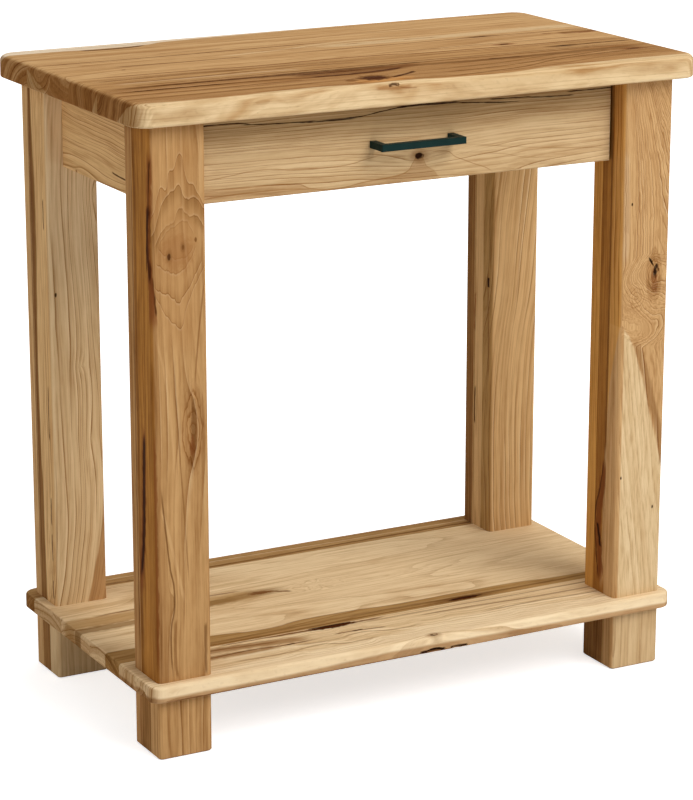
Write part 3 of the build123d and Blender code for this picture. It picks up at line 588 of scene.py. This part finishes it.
# ---- the shelf ----
def shelf_front_board(node):
    board = Wood(node, FLAT, (76, 14), lean=(0.006, 0), ring=7, wave=4, jag=9, seed=6)
    board.curl((-70, -148), (190, 46), 15, 34, stretch=3)
    board.curl((170, -158), (170, 46), 9, 44, stretch=3)
    board.knot((16, -184), (40, 16), 14)
    board.knot((-60, -134), (46, 16), 8, 1.4)
    board.begin(PALE)
    board.paint(CREAM, 0.3)
    board.zone(IVORY, "-354,-172 -220,-168 -60,-166 100,-150 200,-162 354,-170", -1, 7)
    board.veins(
        (BROWN[0], "-354,-118 -250,-114 -170,-121 -110,-127", 12, 0.8),
        (UMBER[0], "-340,-108 -250,-112 -190,-118 -150,-122", 2.6, 0.7),
        (BROWN[0], "-300,-140 -230,-134 -196,-138 -160,-134", 9, 0.7, 0.9),
        (UMBER[0], "-340,-132 -252,-134 -200,-132 -148,-136 -110,-134", 2.6, 0.8),
        (IVORY[0], "-250,-150 -180,-144 -120,-150 -60,-168 -20,-172", 4.6, 0.7, 0.5),
        (IVORY[0], "-80,-138 -30,-142 10,-158 80,-164 160,-156", 4.6, 0.7, 0.5),
        (IVORY[0], "120,-140 200,-150 280,-152 354,-144", 4, 0.6, 0.5),
        (BROWN[0], "-240,-156 -170,-160 -120,-154 -84,-164 -40,-160", 2.6, 0.55, 0.9),
        (BROWN[0], "-150,-142 -96,-146 -60,-140 -10,-150 30,-144", 2.6, 0.5, 0.9),
        (UMBER[0], "-90,-131 -69,-131 -47,-133 -18,-137", 1.8, 0.85),
        (AMBER[1], "-60,-112 60,-110 200,-112 350,-108", 2.2, 0.6),
        (AMBER[1], "20,-120 120,-124 240,-130 350,-126", 3, 0.6),
        (AMBER[1], "100,-150 180,-144 270,-148 350,-142", 2.4, 0.55),
        (UMBER[0], "-230,-102 -150,-103 -100,-104", 2, 0.8, 0.8),
        (UMBER[0], "-170,-103 -120,-105 -60,-106 0,-104", 3.4, 0.8, 0.7),
    )
    board.spot((-77, -105), (38, 6.6), RED_BARK, 1)
    board.vein(BARK, "-108,-101.5 -80,-101.5 -52,-102", 2.2, 0.9, 0.5)
    board.spot((-148, -136), (7, 1.8), UMBER[1])
    board.spot((-56, -131), (9, 2), UMBER[1])
    board.spot((16, -188), (5, 3.4), BARK, 0.95, halo=BROWN[0], near=(SHELF_FACE, 8))
    board.zone(AMBER, "-354,80 -200,79 0,84 60,83 354,79", -1, 2, axis="out", strength=0.8)
    board.veins(
        (UMBER[0], "-354,75 -200,74 0,74 70,74", 1.4, 0.8),
        (BARK, "-8,75 14,76 30,75", 2.4, 1, 0.3),
        (BARK, "34,75 46,76 60,75", 2, 1, 0.3),
        axis="out",
    )
    return board.finish(lines=0.8, ends=0.6, smears=0.4, gloss=TOP_GLOSS)


def shelf_second_board(node):
    board = Wood(node, FLAT, (10, -90), lean=(0, 0.03), ring=8, wave=4, jag=7, seed=7)
    board.begin(PALE)
    seam = "-222,-66 -188,-71 -152,-76 -118,-71 -82,-67 -29,-68 35,-73 139,-71"
    border = f"-354,-60 {seam} 195,-72 249,-78 354,-80"
    board.zone(KHAKI, border, -1, 1.6)
    board.veins(
        (BROWN[1], "-354,-84 -200,-88 0,-84 160,-88 354,-86", 3, 0.45, 0.9),
        (UMBER[0], seam, 1.4, 0.6),
        (UMBER[0], "-300,-92 -180,-96 -40,-94 120,-94", 2.2, 0.7),
    )
    board.spot((114, -92.5), (25, 5.2), RED_BARK, 1, halo=BROWN[1])
    board.vein(BARK, "90,-93 114,-91 140,-94", 1.8, 0.9, 0.6)
    return board.finish(lines=0.35, ends=0.6, glows=0.08, gloss=TOP_GLOSS)


def shelf_middle_board(node):
    board = Wood(node, FLAT, (-16, -80), lean=(0, -0.03), ring=6, wave=3, jag=8, seed=8)
    board.knot((60, 26), (110, 16), 14, 1.3)
    board.curl((-20, 38), (50, 24), 9, 12, stretch=2)
    board.begin(PALE)
    board.veins(
        (KHAKI[0], "-420,40 -300,44 -200,42 -150,42 -84,44", 24, 0.8, 0.35),
        (KHAKI[1], "-420,22 -270,20 -200,32 -150,38 -110,40", 12, 0.8, 0.5),
        (UMBER[0], "-320,60 -230,62 -150,62 -110,58", 2.6, 0.7),
    )
    board.spot((-100, 43), (17, 6), UMBER[0], 0.9, halo=KHAKI[1])
    board.vein(UMBER[0], "-110,46 -86,42 -74,36 -60,30", 4, 0.8, 0.7)
    return board.finish(lines=0.36, ends=0.6, smears=0.2, glows=0.1, gloss=TOP_GLOSS)


def shelf_fourth_board(node):
    board = Wood(node, FLAT, (6, -110), lean=(0, 0.02), ring=8, wave=4, seed=9)
    board.begin(PALE)
    board.vein(KHAKI[0], "-354,84 -260,92 -160,88 -60,94", 8, 0.4)
    return board.finish(lines=0.3, ends=0.6, glows=0.08, gloss=TOP_GLOSS)


def shelf_rear_board(node):
    board = Wood(node, FLAT, (-60, -50), ring=3.8, wave=3, seed=10)
    board.begin(KHAKI)
    board.paint(GOLD, 0.35)
    board.veins(
        (BROWN[1], "-354,164 -100,161 120,164 354,163", 3.4, 0.7, 0.9),
        (CREAM[0], "-354,176 -60,178 120,174 354,178", 2, 0.5, 1),
    )
    return board.finish(lines=0.8, ends=0.9, gloss=TOP_GLOSS)


# ---- the legs: grain along z, face across x, staves side by side in y ----
UPRIGHT = "zxy"
ON_LEFT = {"axis": "out", "near": (LEFT_FACE, 6)}
ON_INNER = {"axis": "out", "near": (INNER_FACE, 6)}


def stave(node, place, pith, ring, seed, tone, left_tone):
    """A core or back stave, with another tone on its left side."""
    wood = Wood(f"{node}_{place}_stave", UPRIGHT, pith, ring=ring, wave=2.5, seed=seed)
    wood.begin(tone)
    wood.skin(left_tone, -1)
    return wood


def front_left_leg(node):
    front = Wood(
        f"{node}_front_stave", UPRIGHT, (34, 64), lean=(0, 0.004), ring=4.6, wave=1.6, jag=3.6, seed=11
    )
    front.knot((388, -293), (70, 18), 9, 1.5)
    front.knot((187, -320), (34, 9), 7, 1.6)
    front.begin(HONEY)
    front.zone(AMBER, "93,-322 250,-330 420,-334 600,-330 735,-332", -1, 6, strength=0.7)
    front.vein(AMBER[0], "470,-306 560,-308 620,-306 720,-303", 30, 0.5, 0.3)
    for marks in (
        (AMBER, (
            "-341,628 -336,640 -331,658 -327,664 -322,661 -318,680 -312,684 -304,699 -299,680 -295,668 "
            "-289,664 -284,655 -278,645 -273,638"
        ), 34, 1, 0.8),
        (BROWN, (
            "-341,606 -336,618 -331,634 -325,648 -319,656 -312,661 -306,665 -301,653 -297,649 -291,650 "
            "-285,648 -279,640 -273,634"
        ), 22, 0.7, 0.8),
        (BROWN, (
            "-336,600 -328,614 -321,621 -314,624 -304,639 -299,634 -293,630 -286,629 -280,622 -275,614"
        ), 15, 0.7, 0.8),
        (AMBER, "-332,598 -327,607 -318,617 -308,622 -300,625 -294,620 -288,600", 26, 0.8, 0.8),
        (AMBER, "-332,600 -327,592 -318,587 -308,584 -299,585 -293,591 -288,604", -14, 0.7, 0.9),
        (AMBER, "-335,583 -328,576 -318,570 -310,568 -302,571 -295,580 -286,596", -9, 0.5, 0.8),
        (AMBER, (
            "-337,556 -328,548 -320,545 -314,540 -308,534 -304,539 -298,546 -290,560 -279,580"
        ), -16, 0.8, 0.9),
        (AMBER, (
            "-339,552 -330,534 -322,520 -314,512 -306,505 -300,524 -294,540 -286,556 -275,574"
        ), -10, 0.6, 0.7),
    ):
        front.contour(*marks)
    front.veins(
        (GOLD[0], "183,-306 230,-316 304,-334", 2.6, 0.6),
        (GOLD[0], "330,-316 420,-322 500,-337", 2, 0.4),
        (BROWN[1], "93,-322 150,-324 190,-319 230,-324 330,-334", 1.4, 0.8),
        (AMBER[1], "93,-316 140,-319 170,-314", 2.4, 0.7),
        (BROWN[1], "93,-280 120,-281 160,-280", 2.2, 0.7),
        (AMBER[1], "200,-300 300,-306 400,-312 480,-316", 1.2, 0.6),
        (AMBER[1], "440,-290 500,-284 560,-276", 1.4, 0.7),
    )
    front.line = front.line * (1.0 - (front.along - 600).size().ease(130, 60) * 0.8)
    front.spot((606, -308), (44, 27), AMBER[0], 0.55)
    front.spot((592, -309), (24, 21), rgb(150, 96, 52), 0.4)
    front.eye((388, -293), (54, 16), AMBER, 3.4, 1, 0.7)
    front.spot((392, -292), (34, 4), BROWN[1], 0.7)
    front.spot((368, -294), (14, 3.4), RUST, 0.6)
    front.skin(RUSSET, -1)
    front.veins(
        (RUST, "93,-341 250,-339.5 400,-341", 2.2, 0.7, 1),
        (UMBER[1], "600,-341.5 622,-340.5 645,-341.5", 1.5, 0.9, 1),
        (RUST, "505,-335 540,-338 575,-341 640,-343", 2.6, 0.6, 0.8),
        (RED_BARK, "520,-335.5 540,-337 562,-339.5 590,-342", 1.6, 0.8, 1.1),
        near=(FRONT_FACE, 3),
    )
    front.veins(
        (RUST, "500,-179 560,-178 600,-175 640,-177 715,-180", 5.5, 0.85, 0.7),
        (RED_BARK, "556,-178 580,-176 602,-174 624,-175 650,-178", 3.6, 1, 1),
        (BARK, "568,-172 590,-171 612,-172 640,-175", 1.6, 0.9, 1),
        (BARK, "620,-176 660,-178 700,-180", 1, 0.8, 0.8),
        axis="out", near=(LEFT_FACE, 3),
    )
    front.spot((588, -319), (4.4, 2), UMBER[1], 0.95, halo=AMBER[1])
    front.spot((597, -302), (3, 1.8), UMBER[0], 0.9, halo=AMBER[1])
    front.spot((604, -286.5), (3, 1.6), UMBER[0], 0.9)
    core = stave(node, "core", (70, 30), 2.6, 12, AMBER, RUSSET)
    core.vein(UMBER[0], "93,-142 400,-141 735,-142", 4, 0.6, axis="out")
    core.vein(RUST, "180,-138 240,-146 300,-152 400,-157", 8, 0.8, 0.6, **ON_LEFT)
    pocket = "205,-139 240,-147 285,-152 330,-153 388,-157"
    core.veins(
        (RED_BARK, pocket, 5.4, 1, 0.6),
        (BARK, pocket, 2.4, 0.9, 0.7),
        **ON_LEFT,
    )
    back = stave(node, "back", (60, -40), 3.4, 13, HONEY, AMBER)
    back.vein(BROWN[1], "93,-134 300,-133 500,-134 735,-133", 1.6, 0.7, **ON_LEFT)
    return front.finish(lines=0.5, streaks=1.3), core.finish(streaks=2.2), back.finish(streaks=2.2)


def front_right_leg(node):
    front = Wood(f"{node}_front_stave", UPRIGHT, (-110, 60), ring=5.5, wave=4, jag=3, seed=14)
    front.fan((845, 268), 430, 0.15, 110)
    front.knot((500, 320), (60, 15), 24, 1.4)
    front.curl((466, 314), (60, 56), 9, 20, 1)
    front.curl((620, 312), (180, 60), 3, 16)
    front.begin(GOLD)
    sap = "93,366 230,348 263,337 283,331 321,320 356,311 387,301 414,291 433,280 446,266 735,250"
    front.zone(CREAM, sap, -1, 1.8, calm=0.75)
    front.veins(
        (BISCUIT[0], "510,276 545,279 600,278 655,275", 6, 0.4, 0.6),
        (AMBER[1], "240,346 300,333 356,317 400,303 424,293", 7, 0.55),
    )
    front.eye((471, 296), (18, 14), GOLD, 3.6, 0.8, 0.2)
    front.skin(TAN, -1, 0.9)
    front.zone(GOLD, "93,-156 287,-158 338,-161 425,-178 470,-190", -1, 1.4, **ON_INNER)
    front.eye((496, 320), (34, 12), AMBER, 2.6, 0.9, 0.7)
    front.spot((488, 321), (16, 5), RUST, 0.6, tilt=-0.1)
    front.spot((502, 322), (9, 3), BARK, 0.95, tilt=0.2)
    front.spot((514, 315), (8, 1.6), BARK, 0.95, tilt=-0.6)
    front.spot((247, 280), (2.4, 1.2))
    front.spot((204, 327), (2.8, 1.4))
    front.spot((586, 286), (2.4, 1.2))
    core = Wood(f"{node}_core_stave", UPRIGHT, (-50, 30), ring=2.8, wave=2.5, seed=15)
    core.knot((165, 273), (50, 30), 8, 1.5)
    core.begin(AMBER)
    core.skin(RUSSET, -1)
    core.vein(BROWN[1], "93,-156 400,-157 735,-156", 3, 0.7, axis="out")
    core.veins(
        (GOLD[0], "93,-154 150,-157 220,-158 290,-160", 5, 0.7, 0.2),
        (RUST, "100,-152 150,-148 183,-145 220,-151 270,-157", 9, 0.9, 0.8),
        (UMBER[1], "105,-150 150,-141 185,-138 225,-147 270,-156", 1.8, 0.9, 0.8),
        (BARK, "150,-151 166,-147 182,-143", 3.4, 1, 0.7),
        axis="out", near=(INNER_FACE, 8),
    )
    back = stave(node, "back", (-40, -30), 2.8, 16, HONEY, TAN)
    return front.finish(lines=1.5, streaks=2.4, glows=0.4), core.finish(), back.finish()


def back_left_leg(node):
    sway = "93,22 150,10 250,0 400,-2 560,3 735,-10"
    front = Wood(
        f"{node}_front_stave", UPRIGHT, (-44, 30), lean=(0.02, 0), ring=6.5, wave=5, jag=3, seed=17,
        drift=sway,
    )
    front.knot((600, -280), (90, 20), 16, 1.4)
    front.knot((440, -276), (70, 16), 12, 1.5)
    front.knot((392, -300), (12, 9), 6)
    front.knot((300, -290), (60, 14), 9, 1.5)
    front.begin(SAND)
    front.paint(CREAM, 0.45)
    # Lighter towards the top of the stave: painted light that offsets the shade falling under the table top.
    front.paint(IVORY, front.along.ease(400, 600) * 0.5)
    front.zone(AMBER, "93,-299 130,-290 169,-281 230,-272 260,-262 735,-262", 1, 1.4, strength=0.85)
    front.vein(CREAM[0], "93,-336 400,-337 735,-336", 3, 0.6)
    front.spot((483, -331), (3, 1.6), BARK, 0.9)
    front.skin(STRAW, -1)
    for low, high in ((100, 126), (148, 186), (194, 232), (300, 372), (560, 600)):
        mark = f"{low},121 {(low + high) / 2},122 {high},121"
        front.vein(UMBER[1], mark, 1.6, 0.9, 0.8, **ON_LEFT)
    core = stave(node, "core", (60, 30), 2.8, 18, AMBER, STRAW)
    flame = "93,143 225,145 290,149 400,150 480,148 540,146 600,147 680,150 735,152"
    core.zone(BROWN, flame, 1, 1.6, **ON_LEFT)
    core.veins(
        (UMBER[0], "93,149 240,151 400,153 560,152 735,157", 1.6, 0.7),
        (BROWN[1], "93,156 300,156 560,157 735,157", 2.6, 0.8),
        **ON_LEFT,
    )
    back = Wood(f"{node}_back_stave", UPRIGHT, (50, -50), ring=3.6, wave=2.5, seed=19)
    back.begin(GOLD)
    back.vein(BROWN[1], "93,160 300,161 560,161 735,160", 1.6, 0.8, **ON_LEFT)
    return front.finish(lines=1.5, streaks=2, glows=0.8), core.finish(), back.finish(lines=0.7)


def back_right_leg(node):
    bend = "93,0 225,3 320,0 425,-14 530,-24 735,-50"
    front = Wood(f"{node}_front_stave", UPRIGHT, (-90, 30), ring=7, wave=3, jag=2, seed=20, drift=bend)
    front.begin(STRAW)
    front.paint(OLIVE, front.along.ease(470, 640) * 0.35)
    front.skin(KHAKI, -1)
    front.veins(
        (UMBER[0], "290,124 340,122 390,124 450,125", 2, 0.6),
        (BARK, "421,123 428,124 435,123", 3.6, 1, 0.3),
        **ON_INNER,
    )
    core = stave(node, "core", (-60, 30), 3, 21, HONEY, STRAW)
    core.vein(RUST, "355,156 383,157 410,156", 2.6, 0.8, 0.9, **ON_INNER)
    core.veins(
        (BARK, "230,154 254,155 285,154", 2.2, 0.95, 0.8),
        (BROWN[0], "93,157 400,157 735,157", 2, 0.7),
        axis="out",
    )
    back = stave(node, "back", (-40, -30), 2.8, 22, AMBER, BROWN)
    return front.finish(lines=0.8, streaks=1.8, glows=0.7), core.finish(streaks=2), back.finish(streaks=2)


def foot(node, pith, tones, sides, seed):
    """A foot's three staves, told apart by how far back they are; the tones, and those of its left side,
    are the front one's first."""
    low, high = (limit[1] * PER_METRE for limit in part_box(node))
    seams = [low + (high - low) * share / 3 for share in (1, 2)]
    block = Wood(node, UPRIGHT, pith, ring=5, wave=3, seed=seed, seams=seams)
    left = block.side * (block.across - block.across_middle).over(0) * -1.0 + block.side
    block.begin(tones[0])
    block.paint(sides[0], left)
    for number in (1, 2):
        here = block.stave.over(number - 0.5)
        block.paint(tones[number], here)
        block.paint(sides[number], here * left)
    return block.finish(lines=0.9)


# ---- aprons ----
def apron(node, grain, pith, tone, seed):
    board = Wood(node, grain, pith, lean=(0.03, 0), ring=3.4, wave=4.5, seed=seed)
    board.begin(tone)
    return board.finish()


def left_apron(node):
    board = Wood(node, "yzx", (-70, 34), lean=(-0.05, 0), ring=4.2, wave=7, seed=31)
    board.knot((60, 735), (60, 30), 9, 1.4)
    board.begin(CREAM)
    board.paint(TAN, 0.5)
    board.vein(UMBER[1], "-70,652 -48,653 -26,655", 1.4, 0.95)
    board.spot((75, 638), (3, 2), RUST, 0.7)
    return board.finish(lines=1.3, streaks=2)


# ---- drawer and hidden boards ----
def drawer_front(node):
    board = Wood(node, "xzy", (-62, 30), lean=(0.004, 0), ring=3.4, wave=3, jag=8, seed=41)
    board.knot((10, 662), (84, 20), 16, 1.5)
    board.knot((-150, 628), (90, 16), 8, 1.5)
    board.knot((110, 634), (50, 16), 9, 1.4)
    board.begin(SAND)
    # A darker olive band along the top of the drawer front: partly the wood's own tone, partly painted shade
    # under the top's overhang.
    board.zone(OLIVE, "-271,704 -100,700 0,704 120,702 271,704", 1, 16, strength=0.6)
    seam = (
        "-271,642 -255,650 -220,650 -150,648 -130,641 -100,638 -60,642 -20,645 -6,649 2,659 10,664 18,654 "
        "30,646 38,637"
    )
    board.zone(AMBER, f"{seam} 60,630 271,628", -1, 1.4, strength=0.45)
    board.veins(
        (BROWN[0], seam, 1, 0.7),
        (BROWN[0], "-271,638 -240,643 -160,643 -128,636", 1, 0.7),
        (BROWN[0], "-271,661 -230,665 -190,668 -150,664 -100,663 -60,668 -30,673", 0.9, 0.6),
        (BROWN[0], "22,668 45,668 58,660 70,655 82,650 100,643 110,636", 0.9, 0.6),
        (BROWN[0], "75,673 120,667 160,662 230,655 275,652", 0.9, 0.4),
        (BROWN[0], "84,662 120,658 160,650 200,648", 0.9, 0.35),
    )
    strands = (
        "-275,723.5 -240,723.5 -205,721.5", "-220,721.5 -170,718.5 -120,717.4",
        "-125,717.2 -80,717.2 -40,721 0,724 64,722.8", "-150,718 -110,716.2 -70,716.2",
        "56,723.2 90,720.6 120,718.5 146,717.5", "100,723.4 130,722.4 160,721.6",
        "150,722 190,719.5 220,719", "205,724 240,723.4 275,723.6",
    )
    for strand in strands:
        board.vein(BARK, strand, 0.9, 1, 0.9)
    board.vein(BARK, "-24,722.6 0,724.4 30,724 66,723.4", 1.5, 1, 0.7)
    board.spot((10, 665.4), (6.5, 4.2), BARK, 1, halo=AMBER[1])
    return board.finish(lines=1.2, streaks=1.8)


def plain_board(node, grain, pith, tone, seed):
    board = Wood(node, grain, pith, ring=3.6, wave=3, seed=seed)
    board.begin(tone)
    return board.finish(lines=0.5)


def plywood(node):
    """Birch plywood: quiet faces with broad flat grain, and its plies showing at the edges."""
    material, tree, shader = new_material(f"{node}_finish")
    x, y, z = surface_place(tree).values()
    flat = facing(tree, "z").ease(0.4, 0.7)
    cloud = noise(x / 120.0, y / 26.0, z / 26.0, 3.0)
    figure = (cloud * 9.0).part()
    line = figure.ease(0.0, 0.5) * figure.ease(1.0, 0.6)
    speck = noise(x / 9.0, y * 1.4, z * 1.4, 2.0)
    ply = (z / PLY_THICKNESS).part().ease(0.42, 0.58)
    face = blend(tree, rgb(228, 206, 168), rgb(206, 176, 132), line * 0.5 + speck * 0.35)
    edge = blend(tree, rgb(214, 184, 138), rgb(142, 104, 66), ply)
    feed(tree, shader.inputs["Base Color"], blend(tree, edge, face, flat))
    feed(tree, shader.inputs["Roughness"], speck * 0.15 + 0.42)
    bump(tree, shader, speck, 0.1, 0.4)
    return material


# ---- metal ----
def dark_pull():
    """Powder-coated steel: near black with a blue-green cast, and a fine orange peel."""
    material, tree, shader = new_material("dark_pull_finish")
    x, y, z = surface_place(tree).values()
    peel = noise(x * 1.6, y * 1.6, z * 1.6, 2.0)
    cloud = noise(x / 24.0, y / 24.0, z / 24.0, 2.0)
    colour = blend(tree, rgb(12, 34, 32), rgb(24, 48, 45), cloud)
    feed(tree, shader.inputs["Base Color"], colour)
    feed(tree, shader.inputs["Roughness"], peel * 0.12 + 0.34)
    shader.inputs["Specular IOR Level"].default_value = 0.05
    bump(tree, shader, peel, 0.05, 0.35)
    return material


def plated_steel(name, light, dark, rough):
    """Zinc-plated or plain steel: fine rolling marks and cloudy plating."""
    material, tree, shader = new_material(name)
    x, y, z = surface_place(tree).values()
    cloud = noise(x / 7.0, y / 18.0, z / 7.0, 3.0)
    brush = noise(x * 3.0, y / 14.0, z * 3.0, 2.0)
    feed(tree, shader.inputs["Base Color"], blend(tree, light, dark, cloud))
    feed(tree, shader.inputs["Roughness"], brush * 0.18 + rough)
    shader.inputs["Metallic"].default_value = 1.0
    bump(tree, shader, brush, 0.04, 0.4)
    return material


def dress_wood():
    """A function of a board has the name of its node. That of a leg has what its staves' names start with."""
    for make in (
        top_front_board, top_second_board, top_middle_board, top_fourth_board, top_rear_board,
        shelf_front_board, shelf_second_board, shelf_middle_board, shelf_fourth_board, shelf_rear_board,
        left_apron, drawer_front,
    ):
        dress(make.__name__, make(make.__name__))
    for make in (front_left_leg, front_right_leg, back_left_leg, back_right_leg):
        for stave, material in zip(("front", "core", "back"), make(make.__name__)):
            dress(f"{make.__name__}_{stave}_stave", material)
    feet = (
        ("front_left_foot", (-46, 40), (HONEY, AMBER, HONEY), (HONEY, BROWN, AMBER), 51),
        ("front_right_foot", (30, 60), (SAND, BROWN, BROWN), (HONEY, BROWN, BROWN), 52),
        ("back_left_foot", (40, 30), (SAND, AMBER, GOLD), (SAND, BROWN, GOLD), 53),
        ("back_right_foot", (-30, 40), (HONEY, HONEY, AMBER), (AMBER, HONEY, BROWN), 54),
    )
    for node, *values in feet:
        dress(node, foot(node, *values))
    dress("right_apron", apron("right_apron", "yzx", (40, -40), GOLD, 32))
    dress("back_apron", apron("back_apron", "xzy", (-20, -60), SAND, 33))
    plain = (
        ("front_top_rail", "xyz", (10, 50), SAND, 34), ("left_slide_cleat", "yzx", (20, 40), MAPLE, 35),
        ("right_slide_cleat", "yzx", (-20, 40), MAPLE, 36), ("drawer_left_side", "yzx", (30, 50), MAPLE, 37),
        ("drawer_right_side", "yzx", (-30, 50), MAPLE, 38), ("drawer_box_front", "xzy", (20, 60), MAPLE, 39),
        ("drawer_box_back", "xzy", (-24, 60), MAPLE, 40), ("leg_dowels", "zxy", (0, 20), MAPLE, 42),
    )
    for node, *values in plain:
        dress(node, plain_board(node, *values))
    dress("drawer_bottom", plywood("drawer_bottom"))


def dress_metal():
    dress("drawer_pull", dark_pull())
    slide = plated_steel("slide_steel_finish", rgb(206, 208, 208), rgb(168, 172, 174), 0.26)
    zinc = plated_steel("zinc_steel_finish", rgb(214, 212, 200), rgb(176, 176, 170), 0.30)
    brass = plated_steel("brass_finish", rgb(214, 178, 104), rgb(168, 130, 66), 0.28)
    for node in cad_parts:
        if "slide_" in node and "cleat" not in node and "screws" not in node:
            dress(node, slide)
        elif node.endswith(("screws", "bolts", "washers", "clips")):
            dress(node, zinc)
    dress("leg_bolt_inserts", brass)


# ---- floor, lamps and camera ----
def seen_by(tree, *rays):
    """1 for the named kinds of ray, and 0 for the others."""
    light = tree.nodes.new("ShaderNodeLightPath")
    seen, *others = (Field(tree, light.outputs[f"Is {ray} Ray"]) for ray in rays)
    for other in others:
        seen = seen.at_least(other)
    return seen


def link(piece):
    bpy.context.scene.collection.objects.link(piece)
    return piece


def plane(name, size, material):
    half = size / 2
    corners = [(-half, -half, 0), (half, -half, 0), (half, half, 0), (-half, half, 0)]
    mesh = bpy.data.meshes.new(name)
    mesh.from_pydata(corners, [], [(0, 1, 2, 3)])
    mesh.materials.append(material)
    return link(bpy.data.objects.new(name, mesh))


def floor():
    """A matt white floor that keeps the table's shadow, and shows white where it isn't shaded."""
    material, tree, shader = new_material("floor_paint")
    shader.inputs["Roughness"].default_value = 0.9
    shader.inputs["Specular IOR Level"].default_value = 0.0
    x, y, z = surface_place(tree).values()
    grain = noise(x / 30.0, y / 30.0, z / 30.0, 3.0)
    paint = blend(tree, rgb(244, 244, 244), rgb(240, 240, 240), grain)
    feed(tree, shader.inputs["Base Color"], paint)
    away = (x * x + y * y).root()
    seen = seen_by(tree, "Camera", "Glossy")
    shader.inputs["Emission Color"].default_value = WHITE
    glow = away.ease(*GLOW_RISE) * (1.0 - FLOOR_GLOW) + FLOOR_GLOW
    feed(tree, shader.inputs["Emission Strength"], seen * glow)
    piece = plane("floor", FLOOR_SIZE, material)
    piece.location.z = -FLOOR_GAP


def surroundings():
    """Even studio light all round, seen by the camera and in reflections as plain white."""
    world = bpy.data.worlds.new("studio")
    bpy.context.scene.world = world
    world.use_nodes = True
    tree = world.node_tree
    seen = seen_by(tree, "Camera", "Glossy", "Transmission")
    background = tree.nodes["Background"]
    background.inputs["Color"].default_value = WHITE
    feed(tree, background.inputs["Strength"], seen * (1.0 - AMBIENT) + AMBIENT)


def lamp(name, place, size, power):
    data = bpy.data.lights.new(name, "AREA")
    data.shape = "SQUARE"
    data.size = size
    data.energy = power
    piece = link(bpy.data.objects.new(name, data))
    piece.location = place
    piece.rotation_euler = (TABLE_MIDDLE - Vector(place)).to_track_quat("-Z", "Y").to_euler()


def camera():
    data = bpy.data.cameras.new("camera")
    data.lens = LENS
    data.sensor_width = SENSOR
    piece = link(bpy.data.objects.new("camera", data))
    piece.location = CAMERA_PLACE
    piece.rotation_euler = (math.radians(90 - CAMERA_DOWN), 0.0, -math.radians(CAMERA_TURN))
    bpy.context.scene.camera = piece


WHITE = (1.0, 1.0, 1.0, 1.0)
FLOOR_SIZE = 40.0
FLOOR_GAP = 0.0005  # between the feet and the floor
FLOOR_GLOW = 0.66
GLOW_RISE = (500.0, 1500.0)  # millimetres from the table's middle
AMBIENT = 0.34
LAMPS = (  # name, place, size and power
    ("key", (1.0, -2.8, 2.9), 2.2, 96.0),
    ("overhead", (0.5, -0.4, 3.2), 1.8, 12.0),
    ("rear", (1.6, 2.6, 2.6), 2.0, 16.0),
    ("left", (-3.2, -0.4, 1.9), 2.0, 22.0),
)
TABLE_MIDDLE = Vector((0.0, 0.0, 0.40))  # what the lamps point at
SENSOR = 36.0
LENS = 133.3
CAMERA_PLACE = (-1.643, -3.056, 1.314)
CAMERA_TURN = 28.25  # degrees to the right of looking along +y
CAMERA_DOWN = 15.71  # degrees below level

dress_wood()
dress_metal()
floor()
surroundings()
for lamp_values in LAMPS:
    lamp(*lamp_values)
camera()

bpy.context.scene.view_settings.view_transform = "Standard"
